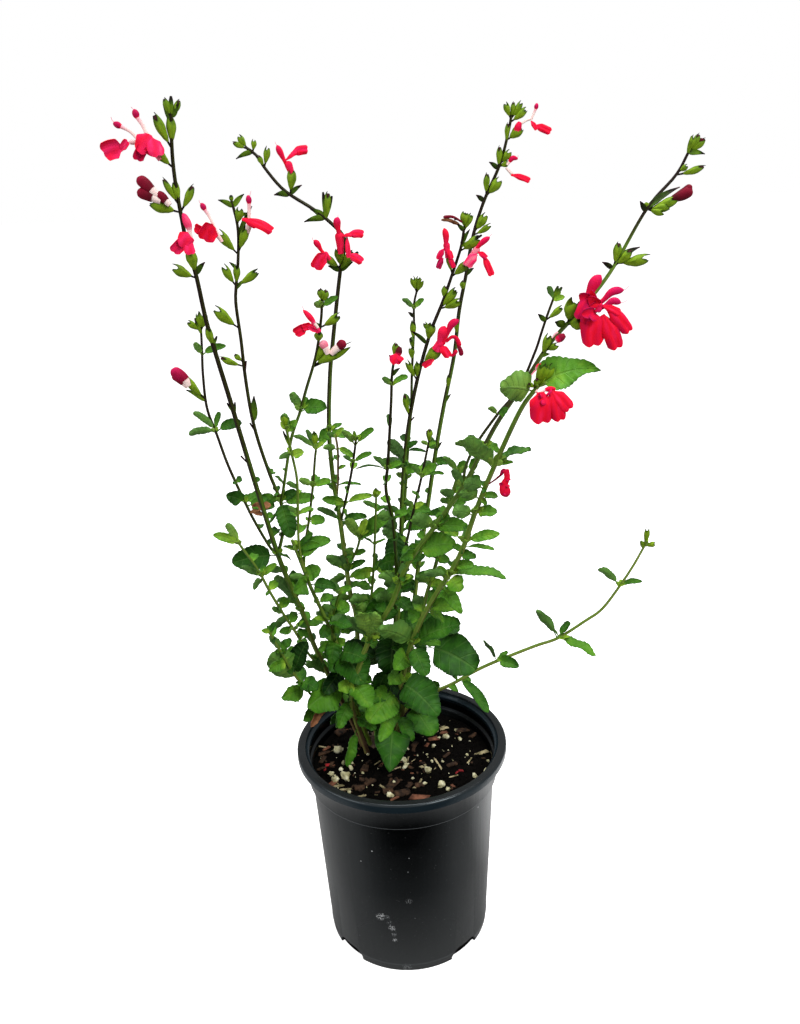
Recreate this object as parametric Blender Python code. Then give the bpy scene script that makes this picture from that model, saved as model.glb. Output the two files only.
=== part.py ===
# Perennial salvia in its nursery pot: pot, potting soil, woody crown, stems, flowers and leaves.
# Metres, +Z up. The origin is the middle of the pot's underside, on the ground.
from math import cos, pi, radians, sin

import bmesh
import bpy
from mathutils import Matrix, Vector

MM = 0.001

# Driving dimensions of the pot, a round one-gallon nursery pot
POT_HEIGHT = 172 * MM
LIP_RADIUS = 82.5 * MM
LIP_INNER_RADIUS = 76 * MM
LIP_DEPTH = 7 * MM
COLLAR_RADIUS = 75 * MM
COLLAR_BOTTOM = 145 * MM
LEDGE_HEIGHT = 158 * MM
WALL_TOP_RADIUS = 72.4 * MM
BASE_RADIUS = 65.3 * MM
WALL = 1.5 * MM
FLOOR = 2.5 * MM
DRAIN_COUNT = 4
DRAIN_TURN = radians(41.5)
DRAIN_WIDTH = 27 * MM
DRAIN_HEIGHT = 9.5 * MM
DRAIN_REACH = 16 * MM
DRAIN_CORNER = 8 * MM
EDGE = 1.2 * MM
COLLAR_LEAD = 0.4 * MM
LEDGE_STEP = 1 * MM
ROUND_STEPS = 40
SHARP_ANGLE = radians(35)

# Driving dimensions of what grows in it
GAP = 0.3 * MM
SOIL_TOP = 154 * MM
SOIL_CROWN = 2 * MM
SOIL_SHOULDER = 4 * MM
SOIL_EDGE = 3 * MM
SOIL_MIDDLE = 40 * MM
CROWN_AT = Vector((-19 * MM, 22 * MM, 0))
CROWN_RADIUS = 22 * MM
CROWN_DEPTH = 14 * MM
CROWN_TOP = 158 * MM
CROWN_FOOT = CROWN_RADIUS * 0.7
CROWN_WAIST = CROWN_TOP - CROWN_DEPTH * 0.45
CROWN_EDGE = 3 * MM
CROWN_STEPS = 24
LEAF_THICKNESS = 0.9 * MM
PETIOLE_WIDTH = 1.3 * MM
CALYX_RADIUS = 3.0 * MM
PEDICEL_RADIUS = 0.55 * MM

# The plant's places are read off its picture, as points across and down in picture units with a
# depth in millimetres behind the pot's axis. These say where the picture was taken from.
PICTURE_MIDDLE = (400, 512)
PICTURE_FOCUS = 882
EYE = Vector((0, -595.2 * MM, 580.8 * MM))
EYE_PITCH = radians(20.125)
EYE_YAW = radians(0.613)
EYE_ROLL = radians(-2.428)

AHEAD = Vector((sin(EYE_YAW) * cos(EYE_PITCH), cos(EYE_YAW) * cos(EYE_PITCH), -sin(EYE_PITCH)))
LEVEL = Vector((cos(EYE_YAW), -sin(EYE_YAW), 0))
ABOVE = LEVEL.cross(AHEAD)
ACROSS = LEVEL * cos(EYE_ROLL) + ABOVE * sin(EYE_ROLL)
UPWARD = ABOVE * cos(EYE_ROLL) - LEVEL * sin(EYE_ROLL)


def place(across, down, depth):
    """The point seen at a picture position, at a depth in millimetres behind the pot's axis."""
    ray = AHEAD + ACROSS * (across - PICTURE_MIDDLE[0]) / PICTURE_FOCUS
    ray -= UPWARD * (down - PICTURE_MIDDLE[1]) / PICTURE_FOCUS
    return EYE + ray * ((depth * MM - EYE.y) / ray.y)


def seen(point):
    """The picture position of a point."""
    arm = point - EYE
    scale = PICTURE_FOCUS / arm.dot(AHEAD)
    return Vector((PICTURE_MIDDLE[0] + arm.dot(ACROSS) * scale, PICTURE_MIDDLE[1] - arm.dot(UPWARD) * scale))


def smooth_line(points, steps):
    """A smooth line through hand-chosen points, with a number of steps between each two."""
    ends = [points[0] * 2 - points[1]] + points + [points[-1] * 2 - points[-2]]
    line = []
    for a, b, c, d in zip(ends, ends[1:], ends[2:], ends[3:]):
        for step in range(steps):
            t = step / steps
            line.append(0.5 * (2 * b + (c - a) * t + (2 * a - 5 * b + 4 * c - d) * t**2
                               + (3 * b - a - 3 * c + d) * t**3))
    return line + [points[-1]]


def resample(line, count):
    """The same line with evenly spaced points."""
    lengths = [(b - a).length for a, b in zip(line, line[1:])]
    total = sum(lengths)
    result = [line[0].copy()]
    walked = 0
    for length, a, b in zip(lengths, line, line[1:]):
        while len(result) < count and walked + length >= total * len(result) / count:
            t = (total * len(result) / count - walked) / length
            result.append(a.lerp(b, t))
        walked += length
    return result + [line[-1].copy()]


# Materials

def material(name, color, roughness, metallic=0.0):
    made = bpy.data.materials.new(name)
    made.use_nodes = True
    shader = made.node_tree.nodes["Principled BSDF"]
    shader.inputs["Base Color"].default_value = (*color, 1)
    shader.inputs["Roughness"].default_value = roughness
    shader.inputs["Metallic"].default_value = metallic
    return made


def add(name, mesh, finish):
    made = bpy.data.objects.new(name, mesh)
    mesh.materials.clear()
    mesh.materials.append(finish)
    bpy.context.scene.collection.objects.link(made)
    return made


for old in list(bpy.data.objects):
    bpy.data.objects.remove(old, do_unlink=True)

BLACK_PLASTIC = material("black_plastic", (0.012, 0.013, 0.015), 0.45)
POTTING_MIX = material("potting_mix", (0.02, 0.015, 0.012), 0.95)
WOOD = material("woody_crown", (0.10, 0.065, 0.04), 0.85)
DARK_STEM = material("dark_stem", (0.035, 0.02, 0.025), 0.55)
GREEN_STEM = material("green_stem", (0.16, 0.24, 0.04), 0.5)
LEAF_GREEN = material("leaf_green", (0.06, 0.20, 0.025), 0.5)
PETAL_RED = material("petal_red", (0.72, 0.01, 0.04), 0.45)


# Turned pieces: a profile of (radius, height) spun about the axis

def turned(profile, centre=Vector((0, 0, 0)), steps=ROUND_STEPS):
    shape = bmesh.new()
    ring = [shape.verts.new(centre + Vector((radius, 0, height))) for radius, height in profile]
    edges = [shape.edges.new(pair) for pair in zip(ring, ring[1:])]
    bmesh.ops.spin(shape, geom=ring + edges, cent=centre, axis=(0, 0, 1), angle=2 * pi, steps=steps,
                   use_merge=True)
    bmesh.ops.remove_doubles(shape, verts=shape.verts, dist=0.01 * MM)
    bmesh.ops.recalc_face_normals(shape, faces=shape.faces)
    mesh = bpy.data.meshes.new("turned")
    shape.to_mesh(mesh)
    shape.free()
    return mesh


def cut(target, cutter, operation="DIFFERENCE"):
    """Boolean on the target with an object that is then dropped."""
    change = target.modifiers.new("cut", "BOOLEAN")
    change.operation = operation
    change.solver = "EXACT"
    change.object = cutter
    bpy.context.view_layer.update()
    evaluated = target.evaluated_get(bpy.context.evaluated_depsgraph_get())
    mesh = bpy.data.meshes.new_from_object(evaluated)
    target.modifiers.clear()
    target.data = mesh
    bpy.data.objects.remove(cutter, do_unlink=True)


# Pot: flat base, tapered wall, collar, and a lip rolled outwards

def wall_radius(height):
    return BASE_RADIUS + (WALL_TOP_RADIUS - BASE_RADIUS) * height / COLLAR_BOTTOM


def inner_radius(height):
    top, bottom = wall_radius(COLLAR_BOTTOM) - WALL, wall_radius(FLOOR) - WALL
    return bottom + (top - bottom) * (height - FLOOR) / (LEDGE_HEIGHT - FLOOR)


lip_bottom = POT_HEIGHT - LIP_DEPTH
collar_inner = COLLAR_RADIUS - WALL
pot_profile = [
    (0, 0),
    (wall_radius(0) - EDGE, 0),
    (wall_radius(EDGE), EDGE),
    (wall_radius(COLLAR_BOTTOM - EDGE), COLLAR_BOTTOM - EDGE),
    (COLLAR_RADIUS - COLLAR_LEAD, COLLAR_BOTTOM),
    (COLLAR_RADIUS, lip_bottom),
    (LIP_RADIUS - EDGE, lip_bottom),
    (LIP_RADIUS, lip_bottom + EDGE),
    (LIP_RADIUS, POT_HEIGHT - 2 * EDGE),
    (LIP_RADIUS - EDGE, POT_HEIGHT - 0.4 * EDGE),
    (LIP_RADIUS - 2.5 * EDGE, POT_HEIGHT),
    (LIP_INNER_RADIUS + EDGE, POT_HEIGHT),
    (LIP_INNER_RADIUS, POT_HEIGHT - 0.5 * EDGE),
    (collar_inner, POT_HEIGHT - 3 * EDGE),
    (collar_inner - COLLAR_LEAD, LEDGE_HEIGHT + LEDGE_STEP),
    (inner_radius(LEDGE_HEIGHT), LEDGE_HEIGHT),
    (inner_radius(FLOOR), FLOOR),
    (0, FLOOR),
]
pot = add("pot", turned(pot_profile), BLACK_PLASTIC)

# Drain notches through the lower corner of the pot, between wall and base
notches = bmesh.new()
for index in range(DRAIN_COUNT):
    turn = Matrix.Rotation(DRAIN_TURN + index * 2 * pi / DRAIN_COUNT, 4, "Z")
    size = Matrix.Diagonal((DRAIN_REACH, DRAIN_WIDTH, 2 * DRAIN_HEIGHT, 1))
    middle = Matrix.Translation((BASE_RADIUS, 0, 0))
    bmesh.ops.create_cube(notches, size=1, matrix=turn @ middle @ size)
top_sides = [
    edge for edge in notches.edges
    if edge.calc_length() < DRAIN_REACH * 1.01 and edge.verts[0].co.z > 0 and edge.verts[1].co.z > 0
    and abs(edge.verts[0].co.xy.length - edge.verts[1].co.xy.length) > DRAIN_REACH / 2
]
bmesh.ops.bevel(notches, geom=top_sides, offset=DRAIN_CORNER, segments=5, affect="EDGES", profile=0.5,
                material=-1)
notch_mesh = bpy.data.meshes.new("notches")
notches.to_mesh(notch_mesh)
notches.free()
cut(pot, add("notches", notch_mesh, BLACK_PLASTIC))

# Potting soil: fills the pot to a little under the lip, with a socket for the crown
soil_shoulder = SOIL_TOP - SOIL_SHOULDER
soil_profile = [
    (0, FLOOR + GAP),
    (inner_radius(FLOOR) - GAP, FLOOR + GAP),
    (inner_radius(soil_shoulder) - GAP, soil_shoulder),
    (inner_radius(SOIL_TOP) - SOIL_EDGE, SOIL_TOP),
    (SOIL_MIDDLE, SOIL_TOP + SOIL_CROWN / 2),
    (0, SOIL_TOP + SOIL_CROWN),
]
soil = add("potting_soil", turned(soil_profile), POTTING_MIX)
socket_profile = [
    (0, CROWN_TOP - CROWN_DEPTH - GAP),
    (CROWN_FOOT + GAP, CROWN_TOP - CROWN_DEPTH - GAP),
    (CROWN_RADIUS + GAP, CROWN_WAIST),
    (CROWN_RADIUS + GAP, CROWN_TOP + CROWN_DEPTH),
    (0, CROWN_TOP + CROWN_DEPTH),
]
cut(soil, add("socket", turned(socket_profile, CROWN_AT, CROWN_STEPS), POTTING_MIX))

# Crown: the woody root stock that every stem grows from, mostly buried
crown_profile = [
    (0, CROWN_TOP - CROWN_DEPTH),
    (CROWN_FOOT, CROWN_TOP - CROWN_DEPTH),
    (CROWN_RADIUS, CROWN_WAIST),
    (CROWN_RADIUS, CROWN_TOP - CROWN_EDGE),
    (CROWN_RADIUS - CROWN_EDGE, CROWN_TOP),
    (0, CROWN_TOP),
]
add("root_crown", turned(crown_profile, CROWN_AT, CROWN_STEPS), WOOD)


# Stems: tapered round tubes along smooth lines. Each starts on the crown or just clear of its parent.

stems = {}
CROWN = "root_crown"
LINE_STEPS = 600


def clear_start(line, radius, parent):
    """The line without its first stretch, which would lie inside the parent stem."""
    parent_line, parent_radius = stems[parent]["line"], stems[parent]["radius"]
    for index, point in enumerate(line):
        nearest = min(range(len(parent_line)), key=lambda i: (parent_line[i] - point).length)
        room = (parent_line[nearest] - point).length
        if room > parent_radius[nearest] + radius + GAP:
            return line[index:]
    return line[-2:]


def stem(name, finish, parent, foot_radius, tip_radius, route, count=16, sides=1):
    line = resample(smooth_line([place(*point) for point in route], 12), LINE_STEPS)
    if parent == CROWN:
        lean = (line[10] - line[0]).normalized()
        line[0].z = CROWN_TOP + GAP + foot_radius * lean.xy.length
        line = [line[0]] + [point for point in line[1:] if point.z > line[0].z + 0.5 * MM]
    else:
        line = clear_start(line, foot_radius, parent)
    line = resample(line, count)
    radius = [foot_radius + (tip_radius - foot_radius) * i / count for i in range(count + 1)]
    curve = bpy.data.curves.new(name, "CURVE")
    curve.dimensions = "3D"
    curve.bevel_depth = 1
    curve.bevel_resolution = sides
    curve.use_fill_caps = True
    spline = curve.splines.new("POLY")
    spline.points.add(count)
    for point, at, thick in zip(spline.points, line, radius):
        point.co = (*at, 1)
        point.radius = thick
    made = bpy.data.objects.new(name, curve)
    curve.materials.append(finish)
    bpy.context.scene.collection.objects.link(made)
    taper = [foot_radius + (tip_radius - foot_radius) * i / LINE_STEPS for i in range(LINE_STEPS + 1)]
    stems[name] = {"line": resample(line, LINE_STEPS), "radius": taper}


stem("stem_left_tall", DARK_STEM, CROWN, 2.1 * MM, 0.6 * MM, [
    (362, 743, 16), (348, 713, 14), (331, 680, 10), (314, 645, 5), (302, 612, 0), (290, 585, -4),
    (278, 555, -9), (262, 505, -14), (245, 450, -20), (230, 400, -26), (217, 358, -31), (206, 320, -35),
    (196, 275, -39), (188, 250, -41), (181, 215, -43), (175, 180, -45), (172, 150, -46), (171, 99, -47),
], count=26)
stem("stem_left_second", DARK_STEM, "stem_left_tall", 1.3 * MM, 0.55 * MM, [
    (278, 555, -9), (283, 530, -3), (281, 503, 2), (270, 475, 5), (258, 440, 7), (251, 412, 8),
    (245, 375, 10), (241, 340, 11), (236, 305, 12), (236, 288, 13), (238, 262, 14), (238, 230, 15),
    (231, 197, 16),
], count=20)
stem("shoot_left_outer", DARK_STEM, "stem_left_tall", 1.1 * MM, 0.5 * MM, [
    (278, 555, -9), (270, 547, -5), (255, 522, 3), (243, 498, 9), (228, 465, 16), (217, 435, 22),
    (207, 408, 26), (203, 375, 29), (202, 350, 31), (201, 325, 32),
], count=16)
stem("shoot_left_inner", DARK_STEM, "stem_left_second", 1.1 * MM, 0.5 * MM, [
    (281, 503, 2), (284, 485, -3), (291, 440, -12), (300, 412, -17), (306, 390, -21), (316, 355, -26),
    (321, 320, -30), (322, 295, -33),
], count=14)
stem("stem_bent", DARK_STEM, CROWN, 2.0 * MM, 0.6 * MM, [
    (377, 735, 28), (366, 700, 27), (359, 660, 26), (356, 615, 25), (350, 592, 25), (340, 520, 30),
    (333, 478, 34), (329, 430, 38), (330, 375, 42), (333, 340, 45), (337, 300, 48), (341, 265, 51),
    (345, 240, 53), (332, 224, 54), (313, 209, 55), (285, 191, 56), (260, 164, 57), (238, 140, 58),
], count=26)
stem("shoot_beside_bent", DARK_STEM, "stem_bent", 1.0 * MM, 0.5 * MM, [
    (341, 520, 30), (344, 508, 27), (351, 475, 18), (355, 448, 12), (356, 435, 10),
], count=8)
stem("stem_short_pair", GREEN_STEM, CROWN, 1.9 * MM, 0.7 * MM, [
    (371, 746, 17), (359, 716, 13), (350, 690, 8), (341, 655, -3), (327, 622, -14), (312, 590, -24), (304, 570, -28),
    (292, 540, -33),
], count=14)
stem("shoot_short_left", DARK_STEM, "stem_short_pair", 0.9 * MM, 0.5 * MM, [
    (304, 570, -28), (299, 545, -33), (298, 515, -37), (297, 480, -42), (292, 455, -45), (287, 428, -48),
    (283, 418, -49),
], count=10)
stem("shoot_short_right", DARK_STEM, "stem_short_pair", 0.9 * MM, 0.5 * MM, [
    (304, 570, -28), (305, 545, -24), (309, 520, -21), (313, 485, -17), (316, 450, -13), (316, 433, -12),
], count=10)
stem("stem_middle", DARK_STEM, CROWN, 1.5 * MM, 0.5 * MM, [
    (382, 747, 12), (387, 700, 8), (393, 650, 3), (396, 600, -3), (396, 560, -9), (393, 520, -15),
    (386, 490, -20), (388, 462, -26), (391, 405, -36), (392, 375, -40), (396, 348, -44),
], count=16)
stem("stem_back_second", GREEN_STEM, CROWN, 2.0 * MM, 0.6 * MM, [
    (388, 731, 32), (394, 690, 34), (398, 617, 38), (401, 541, 44), (402, 499, 48), (407, 436, 54),
    (417, 381, 58), (430, 334, 60), (443, 301, 62), (454, 269, 63), (461, 247, 64), (464, 229, 64),
], count=20)
stem("shoot_middle_back", DARK_STEM, "stem_back_second", 1.1 * MM, 0.5 * MM, [
    (401, 545, 44), (405, 500, 53), (408, 450, 60), (411, 410, 64), (412, 370, 68), (414, 330, 72),
    (414, 305, 75), (418, 280, 78),
], count=14)
stem("stem_back_tall", GREEN_STEM, CROWN, 2.0 * MM, 0.6 * MM, [
    (397, 735, 24), (406, 690, 32), (411, 650, 40), (413, 617, 46), (418, 569, 54), (426, 517, 62),
    (436, 450, 70), (444, 405, 76), (454, 356, 82), (459, 312, 88), (466, 275, 92), (473, 236, 96),
    (484, 201, 99), (500, 164, 102), (509, 129, 104), (514, 100, 105),
], count=24)
stem("stem_right_tall", GREEN_STEM, CROWN, 2.1 * MM, 0.6 * MM, [
    (367, 752, 5), (355, 718, 1), (352, 698, -3), (355, 680, -7), (369, 641, -13), (391, 605, -20), (408, 564, -28),
    (433, 529, -32), (463, 487, -34), (484, 447, -34), (499, 420, -32), (524, 383, -29), (551, 342, -24),
    (582, 308, -18), (611, 271, -10), (646, 210, 0), (676, 175, 6), (691, 148, 9),
], count=26)
stem("shoot_right_inner", DARK_STEM, "stem_right_tall", 1.0 * MM, 0.5 * MM, [
    (463, 487, -34), (466, 466, -28), (477, 443, -22), (497, 415, -15), (519, 388, -7), (535, 352, 2),
    (541, 334, 6), (547, 316, 10), (556, 289, 15),
], count=14)
stem("shoot_middle_low", DARK_STEM, "stem_right_tall", 1.0 * MM, 0.5 * MM, [
    (399, 578, -25), (405, 550, -18), (414, 509, -10), (422, 475, -4), (428, 446, 0), (430, 436, 1),
], count=10)
stem("stem_front", GREEN_STEM, CROWN, 2.1 * MM, 0.9 * MM, [
    (391, 739, 22), (396, 706, 12), (403, 675, 0), (412, 643, -14), (424, 615, -26), (440, 588, -37),
    (449, 575, -42), (463, 548, -51), (475, 513, -61), (494, 467, -72), (520, 411, -82), (540, 380, -87),
], count=20)
stem("shoot_front", GREEN_STEM, "stem_front", 1.4 * MM, 0.8 * MM, [
    (422, 618, -24), (425, 600, -22), (430, 583, -20), (437, 560, -18), (443, 530, -16), (449, 505, -14),
    (459, 473, -12),
], count=10)
stem("stem_trailing", GREEN_STEM, CROWN, 1.6 * MM, 0.6 * MM, [
    (392, 733, 29), (407, 708, 41), (427, 695, 49), (452, 684, 55), (475, 671, 60), (497, 661, 64),
    (535, 646, 68), (558, 638, 70), (585, 621, 72), (602, 609, 73), (619, 587, 74), (633, 566, 75),
    (645, 543, 76), (648, 527, 76),
], count=20)
stem("shoot_low_left", GREEN_STEM, "stem_left_tall", 1.2 * MM, 0.6 * MM, [
    (324, 672, 9), (308, 653, 0), (296, 633, -8), (284, 615, -16), (270, 592, -25), (258, 570, -33),
    (240, 545, -42),
], count=12)
stem("shoot_low_left_front", GREEN_STEM, "stem_left_tall", 1.2 * MM, 0.6 * MM, [
    (345, 709, 13), (328, 703, 2), (314, 697, -8), (303, 685, -17), (292, 671, -26), (281, 652, -34),
    (269, 632, -42),
], count=10)
stem("shoot_centre", GREEN_STEM, "stem_right_tall", 1.0 * MM, 0.5 * MM, [
    (369, 641, -12), (368, 618, -4), (372, 590, 2), (374, 560, 6), (375, 535, 8), (376, 505, 10),
    (376, 494, 10),
], count=10)


# Flowers: pedicel, ribbed calyx, two-lipped corolla. One solid each, from the stem outwards.

def from_stem(name, node, tip, toward, bow, thickness):
    """A line from a stem's surface at one picture position to a tip at another.

    It leaves the stem squarely and bends towards the tip, which is toward millimetres nearer to the
    eye than the stem there. bow is how far it stands off, as a share of its length, and thickness
    is what its end face needs so that a slanting one stays clear of the stem.
    """
    spot = Vector(node)
    line = stems[name]["line"]
    index = min(range(1, len(line) - 1), key=lambda i: (seen(line[i]) - spot).length)
    root, radius = line[index], stems[name]["radius"][index]
    along = (line[index + 1] - line[index - 1]).normalized()
    end = place(*tip, root.y / MM - toward)
    out = (end - root) - along * (end - root).dot(along)
    slant = 1 - out.length / (end - root).length
    out.normalize()
    start = root + out * (radius + GAP + slant * thickness)
    bend = start + out * (end - start).length * bow
    return [start.lerp(bend, t / LINE_STEPS).lerp(bend.lerp(end, t / LINE_STEPS), t / LINE_STEPS)
            for t in range(LINE_STEPS + 1)]


def tube(shape, centres, widths, heights, side, sides=6):
    """A closed tube of flattened rings along centres, with its width along side."""
    rings = []
    for index, centre in enumerate(centres):
        ahead = centres[min(index + 1, len(centres) - 1)] - centres[max(index - 1, 0)]
        up = ahead.cross(side).normalized()
        ring = []
        for turn in range(sides):
            angle = 2 * pi * turn / sides
            ring.append(shape.verts.new(centre + side * cos(angle) * widths[index]
                                        + up * sin(angle) * heights[index]))
        rings.append([shape.edges.new((a, b)) for a, b in zip(ring, ring[1:] + ring[:1])])
    for a, b in zip(rings, rings[1:]):
        bmesh.ops.bridge_loops(shape, edges=a + b)
    for ends in (rings[0], rings[-1]):
        bmesh.ops.contextual_create(shape, geom=ends)
    bmesh.ops.recalc_face_normals(shape, faces=shape.faces)


def solid(name, finish, centres, widths, heights, side):
    shape = bmesh.new()
    tube(shape, centres, widths, heights, side)
    mesh = bpy.data.meshes.new(name)
    shape.to_mesh(mesh)
    shape.free()
    return add(name, mesh, finish)


def flower(name, stem_name, node, hood, toward=0.0, size=1.0, lip=1.0):
    """A flower that leaves its stem at a picture position and reaches to its hood's tip.

    toward is how much nearer to the eye the tip is, in millimetres, and lip scales the lower lip.
    """
    line = from_stem(stem_name, node, hood, toward, 0.45, PEDICEL_RADIUS)
    ahead = (line[-1] - line[0]).normalized()
    side = ahead.cross(Vector((0, 0, 1))).normalized()
    up = side.cross(ahead).normalized()
    calyx = CALYX_RADIUS * size
    rings = [
        (0.0, 0.0, PEDICEL_RADIUS),
        (0.12, 0.0, PEDICEL_RADIUS),
        (0.22, -0.3, calyx * 0.62),
        (0.44, -0.3, calyx),
        (0.46, -0.3, calyx * 0.72),
        (0.66, 0.0, calyx * 0.8),
        (0.86, 0.4, calyx * 0.6),
        (1.0, 0.0, 0.4 * MM),
    ]
    centres = [line[round(share * LINE_STEPS)] + up * rise * MM for share, rise, radius in rings]
    radii = [radius for share, rise, radius in rings]
    made = solid(name, PETAL_RED, centres, radii, radii, side)
    if lip > 0:
        throat = line[round(0.6 * LINE_STEPS)]
        low = ahead * 0.45 - up * 0.62
        lip_centres = [
            throat - ahead * 1.0 * MM,
            throat + low * 4.5 * MM * lip,
            throat + low * 9 * MM * lip - up * 1.0 * MM,
            throat + low * 12.5 * MM * lip - up * 3.0 * MM,
        ]
        lip_widths = [1.4 * MM, 3.2 * MM * lip, 5.6 * MM * lip, 4.2 * MM * lip]
        lip_heights = [1.2 * MM, 0.8 * MM, 0.6 * MM, 0.45 * MM]
        lobe = solid("lip", PETAL_RED, lip_centres, lip_widths, lip_heights, side)
        cut(made, lobe, "UNION")
    return made


flower("flower_left_top", "stem_left_tall", (172, 172), (116, 122), 6)
flower("flower_left_buds", "stem_left_tall", (179, 212), (142, 184), 4, 0.9, 0.0)
flower("flower_left_middle", "stem_left_tall", (196, 275), (186, 214), 10)
flower("flower_second_left", "stem_left_second", (238, 258), (203, 207), 8)
flower("flower_second_right", "stem_left_second", (238, 254), (248, 199), -12)
flower("flower_outer_red_bud", "shoot_left_outer", (203, 400), (176, 368), 5, 0.9, 0.0)
flower("flower_bent_top", "stem_bent", (293, 197), (276, 146), -6)
flower("flower_bent_left", "stem_bent", (340, 268), (314, 241), 10)
flower("flower_bent_right", "stem_bent", (341, 266), (339, 219), 14)
flower("flower_inner", "shoot_left_inner", (320, 330), (303, 310), 12)
flower("flower_back_left", "stem_back_second", (450, 279), (445, 229), 10)
flower("flower_back_right", "stem_back_second", (452, 275), (491, 238), 4)
flower("flower_back_low", "stem_back_second", (421, 366), (458, 320), 8)
flower("flower_back_top", "stem_back_tall", (510, 128), (538, 104), -6)
flower("flower_right_upper", "stem_right_tall", (568, 322), (601, 276), -16)
flower("flower_right_outer", "stem_right_tall", (567, 324), (625, 290), 6)
flower("flower_right_crimson", "stem_right_tall", (648, 207), (695, 188), 4, 0.9, 0.0)
flower("flower_front_right", "stem_front", (531, 394), (556, 397), 14)
flower("flower_bud_right_tip", "stem_right_tall", (688, 153), (706, 137), 0, 1.0, 0.0)


# Leaves: a narrow petiole that widens into an ovate blade, folded a little along its midrib

def leaf(name, stem_name, node, tip, width, toward=0.0, turn=0.0, petiole=0.22, sag=0.06):
    """A leaf that leaves its stem at a picture position and ends at another.

    width is the blade's real width in millimetres, toward how much nearer to the eye the tip is,
    and turn rolls the blade about its own length, from flat on to the eye at 0 to edge on at 90.
    """
    line = from_stem(stem_name, node, tip, toward, 0.18, LEAF_THICKNESS)
    ahead = (line[-1] - line[0]).normalized()
    reach = (line[-1] - line[0]).length
    view = (line[0] - EYE).normalized()
    flat = ahead.cross(view).normalized()
    face = flat.cross(ahead).normalized()
    side = flat * cos(radians(turn)) + face * sin(radians(turn))
    up = ahead.cross(side)
    if up.z < 0:
        side, up = -side, -up
    shape = bmesh.new()
    bmesh.ops.create_grid(shape, x_segments=8, y_segments=2, size=0.5)
    for vert in shape.verts:
        along = vert.co.x + 0.5
        out = vert.co.y * 2
        half = PETIOLE_WIDTH / 2
        if along > petiole:
            blade = (along - petiole) / (1 - petiole)
            half = max(half, 0.5 * width * MM * sin(pi * blade ** 0.75) ** 0.8 if blade < 1 else 0)
        bend = 4 * along * (1 - along) * sag * reach
        fold = 0.16 * abs(out) * half
        vert.co = line[round(along * LINE_STEPS)] + side * out * half + up * (bend + fold)
    bmesh.ops.recalc_face_normals(shape, faces=shape.faces)
    bmesh.ops.solidify(shape, geom=shape.faces, thickness=LEAF_THICKNESS)
    bmesh.ops.recalc_face_normals(shape, faces=shape.faces)
    mesh = bpy.data.meshes.new(name)
    shape.to_mesh(mesh)
    shape.free()
    return add(name, mesh, LEAF_GREEN)


leaf("leaf_front_top_right", "stem_front", (538, 383), (597, 372), 21, 4, 20)
leaf("leaf_front_top_left", "stem_front", (534, 392), (501, 390), 20, 6, 15)
leaf("leaf_front_upper_left", "stem_front", (493, 469), (456, 442), 16, 10, 50)
leaf("leaf_front_upper_right", "stem_front", (496, 463), (531, 451), 12, 0, 65)
leaf("leaf_front_middle_right", "stem_front", (449, 576), (506, 579), 14, 0, 62)
leaf("leaf_front_lower_right", "stem_front", (412, 643), (461, 624), 20, 6, 45)
leaf("leaf_front_lower_left", "stem_front", (411, 645), (378, 634), 20, 14, 45)
leaf("leaf_front_low", "stem_front", (401, 684), (437, 714), 24, 16, 20)
leaf("leaf_front_foot", "stem_front", (394, 722), (389, 771), 22, 44, 20)
leaf("leaf_back_low_right", "stem_back_tall", (410, 655), (476, 668), 24, 20, 20)
leaf("leaf_back_foot_right", "stem_back_tall", (401, 718), (434, 734), 22, 22, 30)
leaf("leaf_short_foot", "stem_short_pair", (346, 676), (306, 706), 22, 32, 20)
leaf("leaf_right_foot", "stem_right_tall", (356, 722), (351, 766), 13, 16, 50)
leaf("leaf_low_left_front", "shoot_low_left_front", (299, 680), (268, 662), 18, 16, 20)
leaf("leaf_trailing_rim", "stem_trailing", (459, 681), (487, 713), 11, 40, 25)
leaf("leaf_trailing_outer", "stem_trailing", (558, 638), (596, 656), 12, 12, 55)

for item in bpy.data.objects:
    if item.type == "MESH":
        item.data.shade_smooth()
        item.data.set_sharp_from_angle(angle=SHARP_ANGLE)
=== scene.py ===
from math import atan2, cos, exp, hypot, pi, radians, sin
from random import Random

import bmesh
import bpy
from mathutils import Matrix, Vector, noise


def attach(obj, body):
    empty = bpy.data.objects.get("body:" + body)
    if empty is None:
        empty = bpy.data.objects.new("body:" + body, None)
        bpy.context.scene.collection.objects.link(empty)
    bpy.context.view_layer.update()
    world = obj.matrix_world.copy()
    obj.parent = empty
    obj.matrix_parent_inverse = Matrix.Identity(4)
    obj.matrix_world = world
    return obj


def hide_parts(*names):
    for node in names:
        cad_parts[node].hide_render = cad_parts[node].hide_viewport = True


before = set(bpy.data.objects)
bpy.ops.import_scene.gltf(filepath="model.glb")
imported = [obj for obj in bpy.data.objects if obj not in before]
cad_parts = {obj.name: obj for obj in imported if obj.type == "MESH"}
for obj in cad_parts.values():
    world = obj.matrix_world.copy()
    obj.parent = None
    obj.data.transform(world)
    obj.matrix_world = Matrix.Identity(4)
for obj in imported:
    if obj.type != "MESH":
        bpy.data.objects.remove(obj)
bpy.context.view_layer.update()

# Camera
# Stands 0.6 m in front of the pot's axis, a little above the plant's middle, and looks down at it.
# Places on the plant are given as they appear from here, with a depth behind the pot's axis.
MM = 0.001
PICTURE_WIDTH = 800
PICTURE_HEIGHT = 1024
PICTURE_FOCUS = 882
SENSOR = 36
EYE = Vector((0, -595.2 * MM, 580.8 * MM))
EYE_PITCH = radians(20.125)
EYE_YAW = radians(0.613)
EYE_ROLL = radians(-2.428)
AHEAD = Vector((sin(EYE_YAW) * cos(EYE_PITCH), cos(EYE_YAW) * cos(EYE_PITCH), -sin(EYE_PITCH)))
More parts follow.
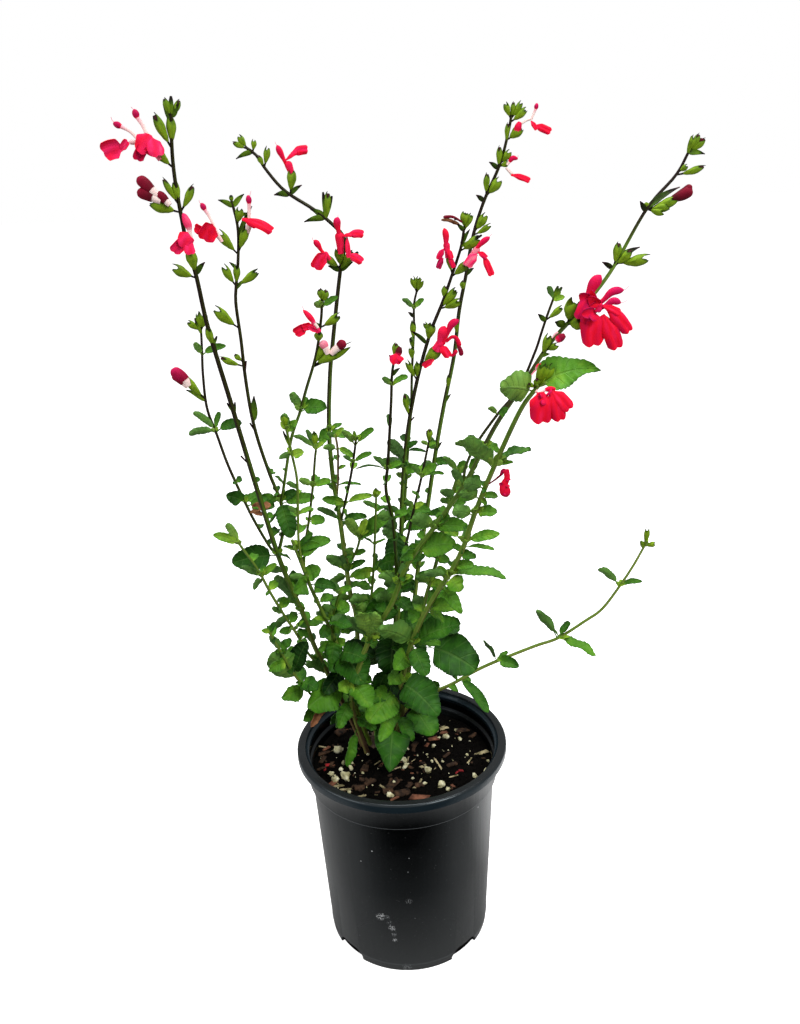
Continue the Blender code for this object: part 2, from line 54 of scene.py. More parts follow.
LEVEL = Vector((cos(EYE_YAW), -sin(EYE_YAW), 0))
ABOVE = LEVEL.cross(AHEAD)
ACROSS = LEVEL * cos(EYE_ROLL) + ABOVE * sin(EYE_ROLL)
UPWARD = ABOVE * cos(EYE_ROLL) - LEVEL * sin(EYE_ROLL)

camera_data = bpy.data.cameras.new("camera")
camera_data.sensor_width = SENSOR
camera_data.lens = PICTURE_FOCUS * SENSOR / PICTURE_HEIGHT
camera_data.clip_start = 10 * MM
camera_data.clip_end = 100
camera = bpy.data.objects.new("camera", camera_data)
camera.matrix_world = Matrix.Translation(EYE) @ Matrix((ACROSS, UPWARD, -AHEAD)).transposed().to_4x4()
bpy.context.scene.collection.objects.link(camera)
bpy.context.scene.camera = camera


def sight(across, down):
    """The direction in which a picture position is seen."""
    ray = AHEAD + ACROSS * (across - PICTURE_WIDTH / 2) / PICTURE_FOCUS
    return ray - UPWARD * (down - PICTURE_HEIGHT / 2) / PICTURE_FOCUS


def place(across, down, depth):
    """The point seen at a picture position, at a depth in millimetres behind the pot's axis."""
    ray = sight(across, down)
    return EYE + ray * ((depth * MM - EYE.y) / ray.y)


def on_level(across, down, height):
    """The point seen at a picture position, at a height above the ground."""
    ray = sight(across, down)
    return EYE + ray * ((height - EYE.z) / ray.z)


def seen(point):
    """The picture position of a point."""
    arm = point - EYE
    scale = PICTURE_FOCUS / arm.dot(AHEAD)
    return Vector((PICTURE_WIDTH / 2 + arm.dot(ACROSS) * scale, PICTURE_HEIGHT / 2 - arm.dot(UPWARD) * scale))


# Pot
# A round one-gallon nursery pot, blow-moulded in black polypropylene: tapered wall, a collar that
# the next pot in a stack rests on, a lip rolled outwards, and four drain notches in its lower edge.
POT_HEIGHT = 172 * MM
LIP_RADIUS = 82.5 * MM
LIP_INNER_RADIUS = 76 * MM
LIP_DEPTH = 7 * MM
COLLAR_RADIUS = 75 * MM
COLLAR_BOTTOM = 145 * MM
LEDGE_HEIGHT = 158 * MM
WALL_TOP_RADIUS = 72.4 * MM
BASE_RADIUS = 65.3 * MM
WALL = 1.5 * MM
FLOOR = 2.5 * MM
POT_STEPS = 160
DRAIN_COUNT = 4
DRAIN_TURN = radians(41.5)
DRAIN_WIDTH = 27 * MM
DRAIN_HEIGHT = 9.5 * MM
DRAIN_REACH = 16 * MM
DRAIN_CORNER = 8 * MM


def node(tree, kind, **values):
    """Adds a shader node. Values that name one of its sockets go to the socket."""
    made = tree.nodes.new(kind)
    for name, value in values.items():
        socket = made.inputs.get(name.replace("_", " ").title())
        if socket is not None and not hasattr(made, name):
            socket.default_value = value
        else:
            setattr(made, name, value)
    return made


def mottling_group():
    """Soft blotches and fine grain, both from the object's own coordinates."""
    group = bpy.data.node_groups.new("mottling", "ShaderNodeTree")
    for name, low, high in (("Blotch Size", 5.0, 2000.0), ("Grain Size", 50.0, 9000.0)):
        socket = group.interface.new_socket(name, in_out="INPUT", socket_type="NodeSocketFloat")
        socket.default_value = (low * high) ** 0.5
    for name in ("Blotches", "Grain"):
        group.interface.new_socket(name, in_out="OUTPUT", socket_type="NodeSocketFloat")
    entry = group.nodes.new("NodeGroupInput")
    leave = group.nodes.new("NodeGroupOutput")
    coordinates = group.nodes.new("ShaderNodeTexCoord")
    for size, out, detail in (("Blotch Size", "Blotches", 3.0), ("Grain Size", "Grain", 2.0)):
        cloud = node(group, "ShaderNodeTexNoise", detail=detail)
        group.links.new(coordinates.outputs["Object"], cloud.inputs["Vector"])
        group.links.new(entry.outputs[size], cloud.inputs["Scale"])
        group.links.new(cloud.outputs["Fac"], leave.inputs[out])
    return group


MOTTLING = mottling_group()


def new_material(name, roughness, blotch_size, grain_size, **constants):
    """A material with the mottling group beside its shader; returns it, its shader and the group node."""
    made = bpy.data.materials.new(name)
    made.use_nodes = True
    tree = made.node_tree
    shader = tree.nodes["Principled BSDF"]
    shader.inputs["Roughness"].default_value = roughness
    for socket, value in constants.items():
        shader.inputs[socket.replace("_", " ")].default_value = value
    spots = tree.nodes.new("ShaderNodeGroup")
    spots.node_tree = MOTTLING
    spots.inputs["Blotch Size"].default_value = blotch_size
    spots.inputs["Grain Size"].default_value = grain_size
    return made, shader, spots


def ramp(tree, source, stops):
    """A colour ramp over a value, from (place, colour) stops."""
    made = tree.nodes.new("ShaderNodeValToRGB")
    elements = made.color_ramp.elements
    while len(elements) < len(stops):
        elements.new(1.0)
    for element, (at, color) in zip(elements, stops):
        element.position = at
        element.color = (*color, 1)
    tree.links.new(source, made.inputs["Fac"])
    return made.outputs["Color"]


def mixed(tree, blend, share, first, second):
    """Two colours mixed; the share and each colour are a socket or a plain value."""
    made = tree.nodes.new("ShaderNodeMix")
    made.data_type = "RGBA"
    made.blend_type = blend
    for socket, value in ((made.inputs[0], share), (made.inputs[6], first), (made.inputs[7], second)):
        if isinstance(value, bpy.types.NodeSocket):
            tree.links.new(value, socket)
        else:
            socket.default_value = value if isinstance(value, float) else (*value, 1)
    return made.outputs[2]


def sums(tree, operation, first, second):
    """One arithmetic step on values or sockets."""
    made = tree.nodes.new("ShaderNodeMath")
    made.operation = operation
    for socket, value in zip(made.inputs, (first, second)):
        if isinstance(value, bpy.types.NodeSocket):
            tree.links.new(value, socket)
        else:
            socket.default_value = value
    return made.outputs[0]


def bumped(tree, shader, height, strength, distance):
    """Feeds a height to the shader's normal through a bump."""
    bump = tree.nodes.new("ShaderNodeBump")
    bump.inputs["Strength"].default_value = strength
    bump.inputs["Distance"].default_value = distance
    tree.links.new(height, bump.inputs["Height"])
    tree.links.new(bump.outputs["Normal"], shader.inputs["Normal"])


def pot_plastic():
    """Satin black plastic, greyed towards its foot by dust and a painted reflection of the bright floor, with rubbed
    edges that also carry painted highlight lines, a painted blue sheen on the lip, and a few scuffs.
    """
    made, shader, spots = new_material("pot_plastic", 0.3, 28.0, 900.0, Specular_IOR_Level=0.31,
                                       Specular_Tint=(0.82, 0.94, 1.0, 1.0))
    tree = made.node_tree
    coordinates = tree.nodes.new("ShaderNodeTexCoord")
    stretch = node(tree, "ShaderNodeMapping", vector_type="POINT")
    stretch.inputs["Scale"].default_value = (260, 260, 9)
    tree.links.new(coordinates.outputs["Object"], stretch.inputs["Vector"])
    streaks = node(tree, "ShaderNodeTexNoise", scale=1.0, detail=3.0)
    tree.links.new(stretch.outputs["Vector"], streaks.inputs["Vector"])
    dust = ramp(tree, spots.outputs["Blotches"], [(0.45, (0, 0, 0)), (0.75, (1, 1, 1))])
    scuff_share = sums(tree, "MULTIPLY", dust, streaks.outputs["Fac"])
    color = mixed(tree, "MIX", scuff_share, (0.0005, 0.0007, 0.0008), (0.0036, 0.0040, 0.0043))
    parts = tree.nodes.new("ShaderNodeSeparateXYZ")
    tree.links.new(coordinates.outputs["Object"], parts.inputs[0])
    # Lighter towards the foot: dust, and a painted reflection of the bright floor.
    dust_and_floor_sheen = ramp(tree, sums(tree, "DIVIDE", parts.outputs["Z"], COLLAR_BOTTOM), [(0.0, (1, 1, 1)), (0.55, (0, 0, 0))])
    color = mixed(tree, "MIX", dust_and_floor_sheen, color, (0.032, 0.033, 0.033))
    dots = node(tree, "ShaderNodeTexVoronoi", scale=620.0)
    tree.links.new(coordinates.outputs["Object"], dots.inputs["Vector"])
    speckle = ramp(tree, dots.outputs["Distance"], [(0.18, (1, 1, 1)), (0.3, (0, 0, 0))])
    rare = ramp(tree, spots.outputs["Grain"], [(0.66, (0, 0, 0)), (0.7, (1, 1, 1))])
    color = mixed(tree, "MIX", sums(tree, "MULTIPLY", speckle, rare), color, (0.09, 0.095, 0.095))
    # Painted highlight lines and sheen along the edges, together with some rubbed wear.
    for height, reach, band_share, band_color in EDGE_WEAR_AND_SHEEN_BANDS:
        away = sums(tree, "ABSOLUTE", sums(tree, "SUBTRACT", parts.outputs["Z"], height), 0.0)
        band = ramp(tree, sums(tree, "DIVIDE", away, reach), [(0.45, (1, 1, 1)), (1.0, (0, 0, 0))])
        color = mixed(tree, "MIX", sums(tree, "MULTIPLY", band, band_share), color, band_color)
    for spot, reach, color_there in POT_SCUFFS:
        away = tree.nodes.new("ShaderNodeVectorMath")
        away.operation = "DISTANCE"
        away.inputs[1].default_value = spot
        tree.links.new(coordinates.outputs["Object"], away.inputs[0])
        near = tree.nodes.new("ShaderNodeMapRange")
        near.inputs["From Min"].default_value = reach
        near.inputs["From Max"].default_value = reach * 0.3
        tree.links.new(away.outputs["Value"], near.inputs["Value"])
        share = sums(tree, "POWER", near.outputs["Result"], 0.7)
        if reach > SPECK_REACH:
            patches = ramp(tree, spots.outputs["Grain"], [(0.5, (0, 0, 0)), (0.6, (1, 1, 1))])
            share = sums(tree, "MULTIPLY", share, sums(tree, "ADD", speckle, patches))
        color = mixed(tree, "MIX", share, color, color_there)
    tree.links.new(color, shader.inputs["Base Color"])
    gloss = tree.nodes.new("ShaderNodeMapRange")
    gloss.inputs["To Min"].default_value = 0.2
    gloss.inputs["To Max"].default_value = 0.34
    tree.links.new(scuff_share, gloss.inputs["Value"])
    tree.links.new(gloss.outputs["Result"], shader.inputs["Roughness"])
    height = sums(tree, "ADD", streaks.outputs["Fac"], sums(tree, "MULTIPLY", spots.outputs["Blotches"], 2.0))
    bumped(tree, shader, height, 0.25, 0.0004)
    return made


def on_wall(across, down):
    """The point of the pot's wall seen at a picture position."""
    ray = sight(across, down)
    spot = EYE + ray * 0.4
    while hypot(spot.x, spot.y) > wall_radius(spot.z):
        spot += ray * 0.5 * MM
    return spot


def wall_radius(height):
    return BASE_RADIUS + (WALL_TOP_RADIUS - BASE_RADIUS) * height / COLLAR_BOTTOM


def inner_radius(height):
    top, bottom = wall_radius(COLLAR_BOTTOM) - WALL, wall_radius(FLOOR) - WALL
    return bottom + (top - bottom) * (height - FLOOR) / (LEDGE_HEIGHT - FLOOR)


PALE_SCUFF = (0.5, 0.51, 0.52)
FAINT_SCUFF = (0.15, 0.155, 0.16)
SPECK_REACH = 1 * MM
# Light grey for rubbed edges, which also paints highlight lines along them.
RUBBED_AND_HIGHLIGHT_GREY = (0.10, 0.11, 0.115)
# A painted blue-grey sheen on the lip, standing in for the bright sky's reflection there.
PAINTED_LIP_SHEEN = (0.034, 0.062, 0.082)
# Bands along the collar's edge, the foot ring and the lip's top are partly rubbed wear and partly painted highlight
# lines. The lip's wide band is a painted sheen.
EDGE_WEAR_AND_SHEEN_BANDS = [
    (COLLAR_BOTTOM + 0.2 * MM, 0.9 * MM, 0.8, RUBBED_AND_HIGHLIGHT_GREY),
    (7 * MM, 1.0 * MM, 0.25, RUBBED_AND_HIGHLIGHT_GREY),
    (POT_HEIGHT - 4.0 * MM, 4.0 * MM, 0.26, PAINTED_LIP_SHEEN),
    (POT_HEIGHT - 0.4 * MM, 1.2 * MM, 0.1, RUBBED_AND_HIGHLIGHT_GREY),
]
POT_SCUFFS = [
    (on_wall(380, 917), 3.6 * MM, PALE_SCUFF),
    (on_wall(382, 915), 2.6 * MM, PALE_SCUFF),
    (on_wall(387, 917), 2.4 * MM, FAINT_SCUFF),
    (on_wall(390, 923), 2.8 * MM, FAINT_SCUFF),
    (on_wall(392, 928), 3.2 * MM, PALE_SCUFF),
    (on_wall(394, 934), 2.6 * MM, FAINT_SCUFF),
    (on_wall(395, 940), 2.2 * MM, PALE_SCUFF),
    (on_wall(409, 901), 3.0 * MM, FAINT_SCUFF),
    (on_wall(372, 851), 0.8 * MM, PALE_SCUFF),
    (on_wall(361, 861), 0.6 * MM, PALE_SCUFF),
    (on_wall(409, 858), 0.6 * MM, PALE_SCUFF),
    (on_wall(408, 872), 0.8 * MM, FAINT_SCUFF),
    (on_wall(478, 807), 0.7 * MM, PALE_SCUFF),
    (on_wall(415, 918), 0.6 * MM, FAINT_SCUFF),
    (on_wall(407, 967), 4.4 * MM, FAINT_SCUFF),
]


def rounded(centre, size, start, end, steps=5):
    """Profile points round a corner, between two angles in degrees."""
    angles = [radians(start + (end - start) * step / steps) for step in range(steps + 1)]
    return [(centre[0] + size * cos(angle), centre[1] + size * sin(angle)) for angle in angles]


def turned(profile, centre=Vector((0, 0, 0)), steps=POT_STEPS):
    """A profile of (radius, height) spun about an upright axis."""
    shape = bmesh.new()
    ring = [shape.verts.new(centre + Vector((radius, 0, height))) for radius, height in profile]
    edges = [shape.edges.new(pair) for pair in zip(ring, ring[1:])]
    bmesh.ops.spin(shape, geom=ring + edges, cent=centre, axis=(0, 0, 1), angle=2 * pi, steps=steps,
                   use_merge=True)
    bmesh.ops.remove_doubles(shape, verts=shape.verts, dist=0.01 * MM)
    bmesh.ops.recalc_face_normals(shape, faces=shape.faces)
    return shape


def finish_piece(name, shape, finish, nodes=(), crease=35):
    """Makes the piece's object, gives it its material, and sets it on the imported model."""
    mesh = bpy.data.meshes.new(name)
    shape.to_mesh(mesh)
    shape.free()
    mesh.materials.append(finish)
    mesh.shade_smooth()
    mesh.set_sharp_from_angle(angle=radians(crease))
    piece = bpy.data.objects.new(name, mesh)
    bpy.context.scene.collection.objects.link(piece)
    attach(piece, "root")
    if nodes:
        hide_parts(*nodes)
    return piece


def cut(target, cutter):
    """Cuts one object's shape out of another, and drops the cutter."""
    change = target.modifiers.new("cut", "BOOLEAN")
    change.solver = "EXACT"
    change.object = cutter
    bpy.context.view_layer.update()
    mesh = bpy.data.meshes.new_from_object(target.evaluated_get(bpy.context.evaluated_depsgraph_get()))
    target.modifiers.clear()
    target.data = mesh
    bpy.data.objects.remove(cutter, do_unlink=True)


lip_bottom = POT_HEIGHT - LIP_DEPTH
collar_inner = COLLAR_RADIUS - WALL
lip_round = 1.9 * MM
edge_round = 0.8 * MM
pot_profile = [
    (0, 0),
    *rounded((wall_radius(0) - 1.6 * MM, 1.6 * MM), 1.6 * MM, -90, 0),
    (wall_radius(6 * MM), 6 * MM),
    (wall_radius(7 * MM) + 0.25 * MM, 7 * MM),
    (wall_radius(8 * MM), 8 * MM),
    (wall_radius(COLLAR_BOTTOM * 0.5), COLLAR_BOTTOM * 0.5),
    (wall_radius(COLLAR_BOTTOM - 1.2 * MM), COLLAR_BOTTOM - 1.2 * MM),
    (COLLAR_RADIUS - 0.9 * MM, COLLAR_BOTTOM - 0.2 * MM),
    *rounded((COLLAR_RADIUS - edge_round, COLLAR_BOTTOM + edge_round), edge_round, -60, 0, 4),
    (COLLAR_RADIUS, lip_bottom - 0.8 * MM),
    (COLLAR_RADIUS + 0.8 * MM, lip_bottom),
    *rounded((LIP_RADIUS - edge_round, lip_bottom + edge_round), edge_round, -90, 0, 4),
    *rounded((LIP_RADIUS - lip_round, POT_HEIGHT - lip_round), lip_round, 0, 90, 6),
    *rounded((LIP_INNER_RADIUS + edge_round, POT_HEIGHT - edge_round), edge_round, 90, 180, 4),
    (LIP_INNER_RADIUS - 0.3 * MM, POT_HEIGHT - 3 * MM),
    (collar_inner, POT_HEIGHT - 4.5 * MM),
    (collar_inner - 0.4 * MM, LEDGE_HEIGHT + 1 * MM),
    (inner_radius(LEDGE_HEIGHT) + 0.8 * MM, LEDGE_HEIGHT),
    (inner_radius(LEDGE_HEIGHT - 1 * MM), LEDGE_HEIGHT - 1 * MM),
    (inner_radius(FLOOR), FLOOR),
    (0, FLOOR),
]
pot = finish_piece("nursery_pot", turned(pot_profile), pot_plastic(), ["pot"], 50)

notches = bmesh.new()
for index in range(DRAIN_COUNT):
    turn = Matrix.Rotation(DRAIN_TURN + index * 2 * pi / DRAIN_COUNT, 4, "Z")
    size = Matrix.Diagonal((DRAIN_REACH, DRAIN_WIDTH, 2 * DRAIN_HEIGHT, 1))
    bmesh.ops.create_cube(notches, size=1, matrix=turn @ Matrix.Translation((BASE_RADIUS, 0, 0)) @ size)
top_sides = [
    edge for edge in notches.edges
    if edge.calc_length() < DRAIN_REACH * 1.01 and edge.verts[0].co.z > 0 and edge.verts[1].co.z > 0
    and abs(edge.verts[0].co.xy.length - edge.verts[1].co.xy.length) > DRAIN_REACH / 2
]
bmesh.ops.bevel(notches, geom=top_sides, offset=DRAIN_CORNER, segments=8, affect="EDGES", profile=0.5,
                material=-1)
notch_mesh = bpy.data.meshes.new("notches")
notches.to_mesh(notch_mesh)
notches.free()
notch_cutter = bpy.data.objects.new("notches", notch_mesh)
bpy.context.scene.collection.objects.link(notch_cutter)
cut(pot, notch_cutter)
pot.data.shade_smooth()
pot.data.set_sharp_from_angle(angle=radians(50))

# Potting mix
# Loose black peat and composted bark that fills the pot to a finger's width under the lip. Its top
# is crumbly and uneven, a little higher round the crown of the plant.
SOIL_TOP = 154 * MM
SOIL_CROWN = 2 * MM
SOIL_GAP = 0.3 * MM
SOIL_RINGS = 70
SOIL_STEPS = 200


def lumps(spot, size, layers=3):
    """Uneven ground: noise of a lump size in metres and finer, from -1 to 1."""
    return sum(noise.noise(spot / (size / 2**layer)) / 1.6**layer for layer in range(layers))


def soil_height(across, back):
    """The height of the soil's surface at a place in the pot."""
    share = hypot(across, back) / inner_radius(SOIL_TOP)
    spot = Vector((across, back, 0))
    level = SOIL_TOP + SOIL_CROWN * (1 - share**2) - 2.2 * MM * share**6
    return level + 1.1 * MM * lumps(spot, 16 * MM, 2) + 0.8 * MM * lumps(spot, 4.5 * MM)


def soil_material():
    """Near-black damp peat with brown fibres."""
    made, shader, spots = new_material("potting_mix", 0.9, 160.0, 1400.0, Specular_IOR_Level=0.05)
    tree = made.node_tree
    dark = ramp(tree, spots.outputs["Grain"], [
        (0.3, (0.0004, 0.0003, 0.0003)), (0.52, (0.0014, 0.0011, 0.0008)), (0.68, (0.006, 0.004, 0.0026)),
        (0.8, (0.035, 0.025, 0.015)),
    ])
    color = mixed(tree, "MULTIPLY", 0.6, dark, ramp(tree, spots.outputs["Blotches"], [
        (0.35, (0.35, 0.33, 0.33)), (0.7, (1, 1, 1))]))
    tree.links.new(color, shader.inputs["Base Color"])
    bumped(tree, shader, spots.outputs["Grain"], 0.9, 0.001)
    return made


SOIL = soil_material()
soil_edge = inner_radius(SOIL_TOP) - SOIL_GAP
soil_profile = [(0, FLOOR + SOIL_GAP), (inner_radius(FLOOR) - SOIL_GAP, FLOOR + SOIL_GAP)]
soil_profile += [(soil_edge * (1 - ring / SOIL_RINGS), SOIL_TOP) for ring in range(SOIL_RINGS + 1)]
soil = turned(soil_profile, steps=SOIL_STEPS)
for vert in soil.verts:
    if vert.co.z > SOIL_TOP - MM:
        vert.co.z = soil_height(vert.co.x, vert.co.y)
finish_piece("potting_mix", soil, SOIL, ["potting_soil"], 70)

# Crumbs, perlite and bark
# What the mix is made of, loose on its surface: peat crumbs, white puffed perlite that has gone
# cream with wet, brown bark chips and straw. The larger ones lie where the picture shows them.
CRUMB_COUNT = 900
PERLITE_DUST_COUNT = 75
CHIP_COUNT = 130
STRAW_COUNT = 24
RUST_COUNT = 22
BARE_SHARE = 0.65
LITTER_RADIUS = 64 * MM


def lump(shape, centre, size, roughness, seed, detail=1, flat=1.0):
    """A rough lump of a size in metres, from a small round one with its points pushed about."""
    turn = Matrix.Rotation(seed * 2.4, 4, Vector((sin(seed), cos(seed * 1.7), 0.6)).normalized())
    squash = Matrix.Diagonal((size, size * (0.7 + 0.3 * sin(seed * 3.1)), size * flat, 1))
    made = bmesh.ops.create_icosphere(shape, subdivisions=detail, radius=0.5,
                                      matrix=Matrix.Translation(centre) @ turn @ squash)
    for vert in made["verts"]:
        arm = vert.co - centre
        vert.co += arm * roughness * lumps(arm / size + Vector((seed, 0, 0)), 0.5, 2)


def scattered(seed, count):
    """Places spread evenly over the soil, away from its very edge."""
    chance = Random(seed)
    for index in range(count):
        reach = (inner_radius(SOIL_TOP) - 3 * MM) * chance.random() ** 0.5
        angle = 2 * pi * chance.random()
        across, back = reach * cos(angle), reach * sin(angle)
        yield index, Vector((across, back, soil_height(across, back))), chance


crumbs = bmesh.new()
for index, spot, chance in scattered(3, CRUMB_COUNT):
    lump(crumbs, spot, chance.uniform(1.2, 4.2) * MM, 0.5, index, 1, chance.uniform(0.5, 1.0))
finish_piece("peat_crumbs", crumbs, SOIL, crease=80)


def perlite_material():
    """Cream-white puffed glass, pitted, stained by the wet mix."""
    made, shader, spots = new_material("perlite", 0.8, 220.0, 2600.0)
    tree = made.node_tree
    color = ramp(tree, spots.outputs["Blotches"], [
        (0.32, (0.18, 0.16, 0.06)), (0.5, (0.50, 0.47, 0.27)), (0.68, (0.74, 0.72, 0.52))])
    tree.links.new(color, shader.inputs["Base Color"])
    bumped(tree, shader, spots.outputs["Grain"], 0.7, 0.0006)
    return made


PERLITE_PLACES = [
    (339, 752, 8), (346, 779, 8), (335, 781, 6.5), (331, 775, 5), (344, 764, 4.5), (352, 765, 4), (341, 771, 4),
    (351, 771, 4.5), (404, 763, 5), (406, 768, 5.5), (429, 774, 6.5), (442, 787, 5.5), (448, 790, 4), (425, 786, 4.5),
    (475, 776, 4.5), (460, 740, 4.5), (446, 739, 5.5), (438, 740, 4), (434, 748, 4), (390, 797, 6), (404, 770, 3),
    (427, 757, 2.5), (413, 780, 2.5), (456, 731, 3), (467, 756, 2.5), (452, 748, 2), (488, 760, 2.5), (485, 770, 4),
    (349, 793, 3), (421, 771, 2), (432, 763, 2.5), (408, 752, 2.5), (394, 786, 3), (470, 742, 2), (443, 764, 2.2),
    (368, 758, 3.5), (363, 775, 2.5),
]
perlite = bmesh.new()
for index, (across, down, size) in enumerate(PERLITE_PLACES):
    spot = on_level(across, down, SOIL_TOP)
    spot.z = soil_height(spot.x, spot.y) + size * 0.28 * MM
    lump(perlite, spot, size * MM, 0.6, index + 5, 2 if size < 5 else 3, 0.8)
for index, spot, chance in scattered(8, PERLITE_DUST_COUNT):
    lump(perlite, spot + Vector((0, 0, 0.4 * MM)), chance.uniform(0.6, 1.7) * MM, 0.4, index, 1)
finish_piece("perlite_lumps", perlite, perlite_material(), crease=80)


def bark_material(name, dark, light):
    """Bark or straw: brown, blotched and rough."""
    made, shader, spots = new_material(name, 0.8, 210.0, 2400.0, Specular_IOR_Level=0.2)
    tree = made.node_tree
    color = ramp(tree, spots.outputs["Blotches"], [(0.3, dark), (0.7, light)])
    tree.links.new(color, shader.inputs["Base Color"])
    bumped(tree, shader, spots.outputs["Grain"], 0.8, 0.0007)
    return made


def chip(shape, centre, length, width, thickness, heading, tilt, seed):
    """A split flake of bark: a block with its edges rounded and its faces made uneven."""
    turn = Matrix.Rotation(heading, 4, "Z") @ Matrix.Rotation(tilt, 4, "X") @ Matrix.Rotation(tilt * 0.6, 4, "Y")
    size = Matrix.Diagonal((length, width, thickness, 1))
    made = bmesh.ops.create_cube(shape, size=1, matrix=Matrix.Translation(centre) @ turn @ size)
    edges = list({edge for vert in made["verts"] for edge in vert.link_edges})
    rounder = bmesh.ops.bevel(shape, geom=edges, offset=thickness * 0.3, segments=1, affect="EDGES",
                              profile=0.5, material=-1)
    for vert in rounder["verts"]:
        arm = vert.co - centre
        vert.co += arm * 0.5 * lumps(arm / width + Vector((seed, 0, 0)), 0.9, 2)


def litter(name, material, places, thickness, count, sizes, slimness, seed):
    """One kind of litter: pieces at chosen (across, down, length, width, heading), and more strewn about."""
    shape = bmesh.new()
    for index, (across, down, length, width, heading) in enumerate(places):
        spot = on_level(across, down, SOIL_TOP)
        spot *= min(1, LITTER_RADIUS / hypot(spot.x, spot.y))
        spot.z = soil_height(spot.x, spot.y) + 0.6 * thickness
        chip(shape, spot, length * MM, width * MM, thickness, heading, 0.3 * sin(index), index + seed)
    for index, spot, chance in scattered(seed, count):
        if spot.x + spot.y > 0 and chance.random() < BARE_SHARE:
            continue
        length = chance.uniform(*sizes) * MM
        chip(shape, spot + Vector((0, 0, 0.4 * MM)), length, length * slimness * chance.uniform(0.7, 1.4),
             min(thickness, length * 0.3), chance.uniform(0, pi), chance.uniform(-0.5, 0.5), index)
    finish_piece(name, shape, material, crease=60)


litter("bark_chips", bark_material("bark_chip", (0.003, 0.0015, 0.001), (0.075, 0.038, 0.019)), [
    (394, 787, 12, 5, 0.9), (388, 793, 8, 4, 0.3), (403, 795, 11, 5, 0.4), (366, 771, 8, 5, 1.3),
    (310, 752, 9, 5, 0.2), (314, 760, 8, 4, 1.1), (462, 731, 10, 5, 0.1), (410, 788, 8, 4, 0.9),
    (360, 790, 8, 4, 0.3), (415, 748, 7, 4, 1.0), (447, 757, 7, 3, 0.8), (478, 735, 7, 4, 0.5),
    (371, 784, 8, 5, 0.5), (318, 724, 9, 6, 0.9), (420, 787, 7, 3, 0.2), (452, 767, 8, 3, 0.5),
], 2.0 * MM, CHIP_COUNT, (1.8, 5.5), 0.45, 21)
litter("straw_bits", bark_material("straw", (0.10, 0.085, 0.035), (0.52, 0.44, 0.25)), [
    (438, 765, 15, 1.6, 1.9), (421, 782, 10, 1.4, 1.2), (327, 747, 13, 1.4, -0.2), (441, 730, 11, 4, 0.5),
    (385, 790, 11, 1.6, -0.9), (344, 790, 9, 2.5, -0.3), (338, 786, 8, 3, 0.2), (488, 752, 11, 3, 0.6),
    (378, 765, 9, 1.2, 0.9), (454, 778, 8, 1.2, 0.4), (408, 762, 6, 1.2, 1.3), (398, 771, 6, 1, 0.2),
    (470, 762, 7, 1.2, 1.0), (352, 757, 8, 1.2, 1.4), (423, 769, 6, 2, 0.7), (361, 797, 7, 1.5, 0.4),
], 1.0 * MM, STRAW_COUNT, (2.0, 5.0), 0.2, 33)
litter("rust_flakes", bark_material("rust_flake", (0.045, 0.015, 0.008), (0.25, 0.10, 0.055)), [
    (433, 741, 9, 5, 0.2), (444, 734, 6, 3, 0.1), (421, 799, 13, 4, -0.05), (334, 783, 8, 4, 0.9),
    (309, 747, 6, 3, 0.6), (394, 800, 7, 3, 0.3), (427, 747, 5, 3, 1.1), (341, 793, 6, 2.5, -0.4),
], 1.4 * MM, RUST_COUNT, (1.5, 3.5), 0.5, 45)
litter("fallen_petals", bark_material("fallen_petal", (0.07, 0.003, 0.005), (0.38, 0.02, 0.025)), [
    (328, 766, 3.6, 2.6, 0.4), (325, 770, 3, 1.6, 1.2), (461, 772, 3.6, 2.8, 0.2), (457, 774, 3, 1.4, 1.0),
    (317, 722, 3, 2.4, 0.5),
], 1.2 * MM, 0, (1, 2), 0.5, 57)

# Woody crown
# The rooted base that every stem grows from: a low knuckle of grey-brown wood, sunk in the mix.
CROWN_AT = Vector((-19 * MM, 22 * MM, 0))
CROWN_RADIUS = 22 * MM
CROWN_TOP = 158 * MM
CROWN_DEPTH = 14 * MM

crown_profile = [(0, CROWN_TOP - CROWN_DEPTH)]
crown_profile += [(CROWN_RADIUS * 0.98 * cos(radians(angle)), CROWN_TOP - CROWN_DEPTH * (1 - sin(radians(angle))))
                  for angle in range(0, 91, 6)]
crown = turned(crown_profile, CROWN_AT, 72)
for vert in crown.verts:
    arm = vert.co - CROWN_AT
    vert.co.z += 1.6 * MM * lumps(vert.co, 9 * MM) * (1 if vert.co.z > CROWN_TOP - 8 * MM else 0)
    vert.co.z = min(vert.co.z, CROWN_TOP + 2 * MM)
finish_piece("woody_crown", crown, bark_material("crown_bark", (0.02, 0.014, 0.01), (0.10, 0.07, 0.045)),
             ["root_crown"], 70)

# Stems
# Square in section with rounded corners, as in all of the mint family. They are woody and brown at
# the foot, green higher up, and purple-black where they flower. Shoots leave them at a leaf node.
WAND_SIDES = 12
LINE_STEPS = 240
FOOT_SHARE = 0.85
TIP_SHARE = 1.45
CROWN = "root_crown"


def smooth_line(points, steps=12):
    """A smooth line through given points, with a number of steps between each two."""
    ends = [points[0] * 2 - points[1]] + points + [points[-1] * 2 - points[-2]]
    line = []
    for a, b, c, d in zip(ends, ends[1:], ends[2:], ends[3:]):
        for step in range(steps):
            t = step / steps
            line.append(0.5 * (2 * b + (c - a) * t + (2 * a - 5 * b + 4 * c - d) * t**2
                               + (3 * b - a - 3 * c + d) * t**3))
    return line + [points[-1]]


def resample(line, count):
    """The same line with evenly spaced points."""
    lengths = [(b - a).length for a, b in zip(line, line[1:])]
    total = sum(lengths)
    result = [line[0].copy()]
    walked = 0
    for length, a, b in zip(lengths, line, line[1:]):
        while len(result) < count and walked + length >= total * len(result) / count:
            t = (total * len(result) / count - walked) / length
            result.append(a.lerp(b, t))
        walked += length
    return result + [line[-1].copy()]


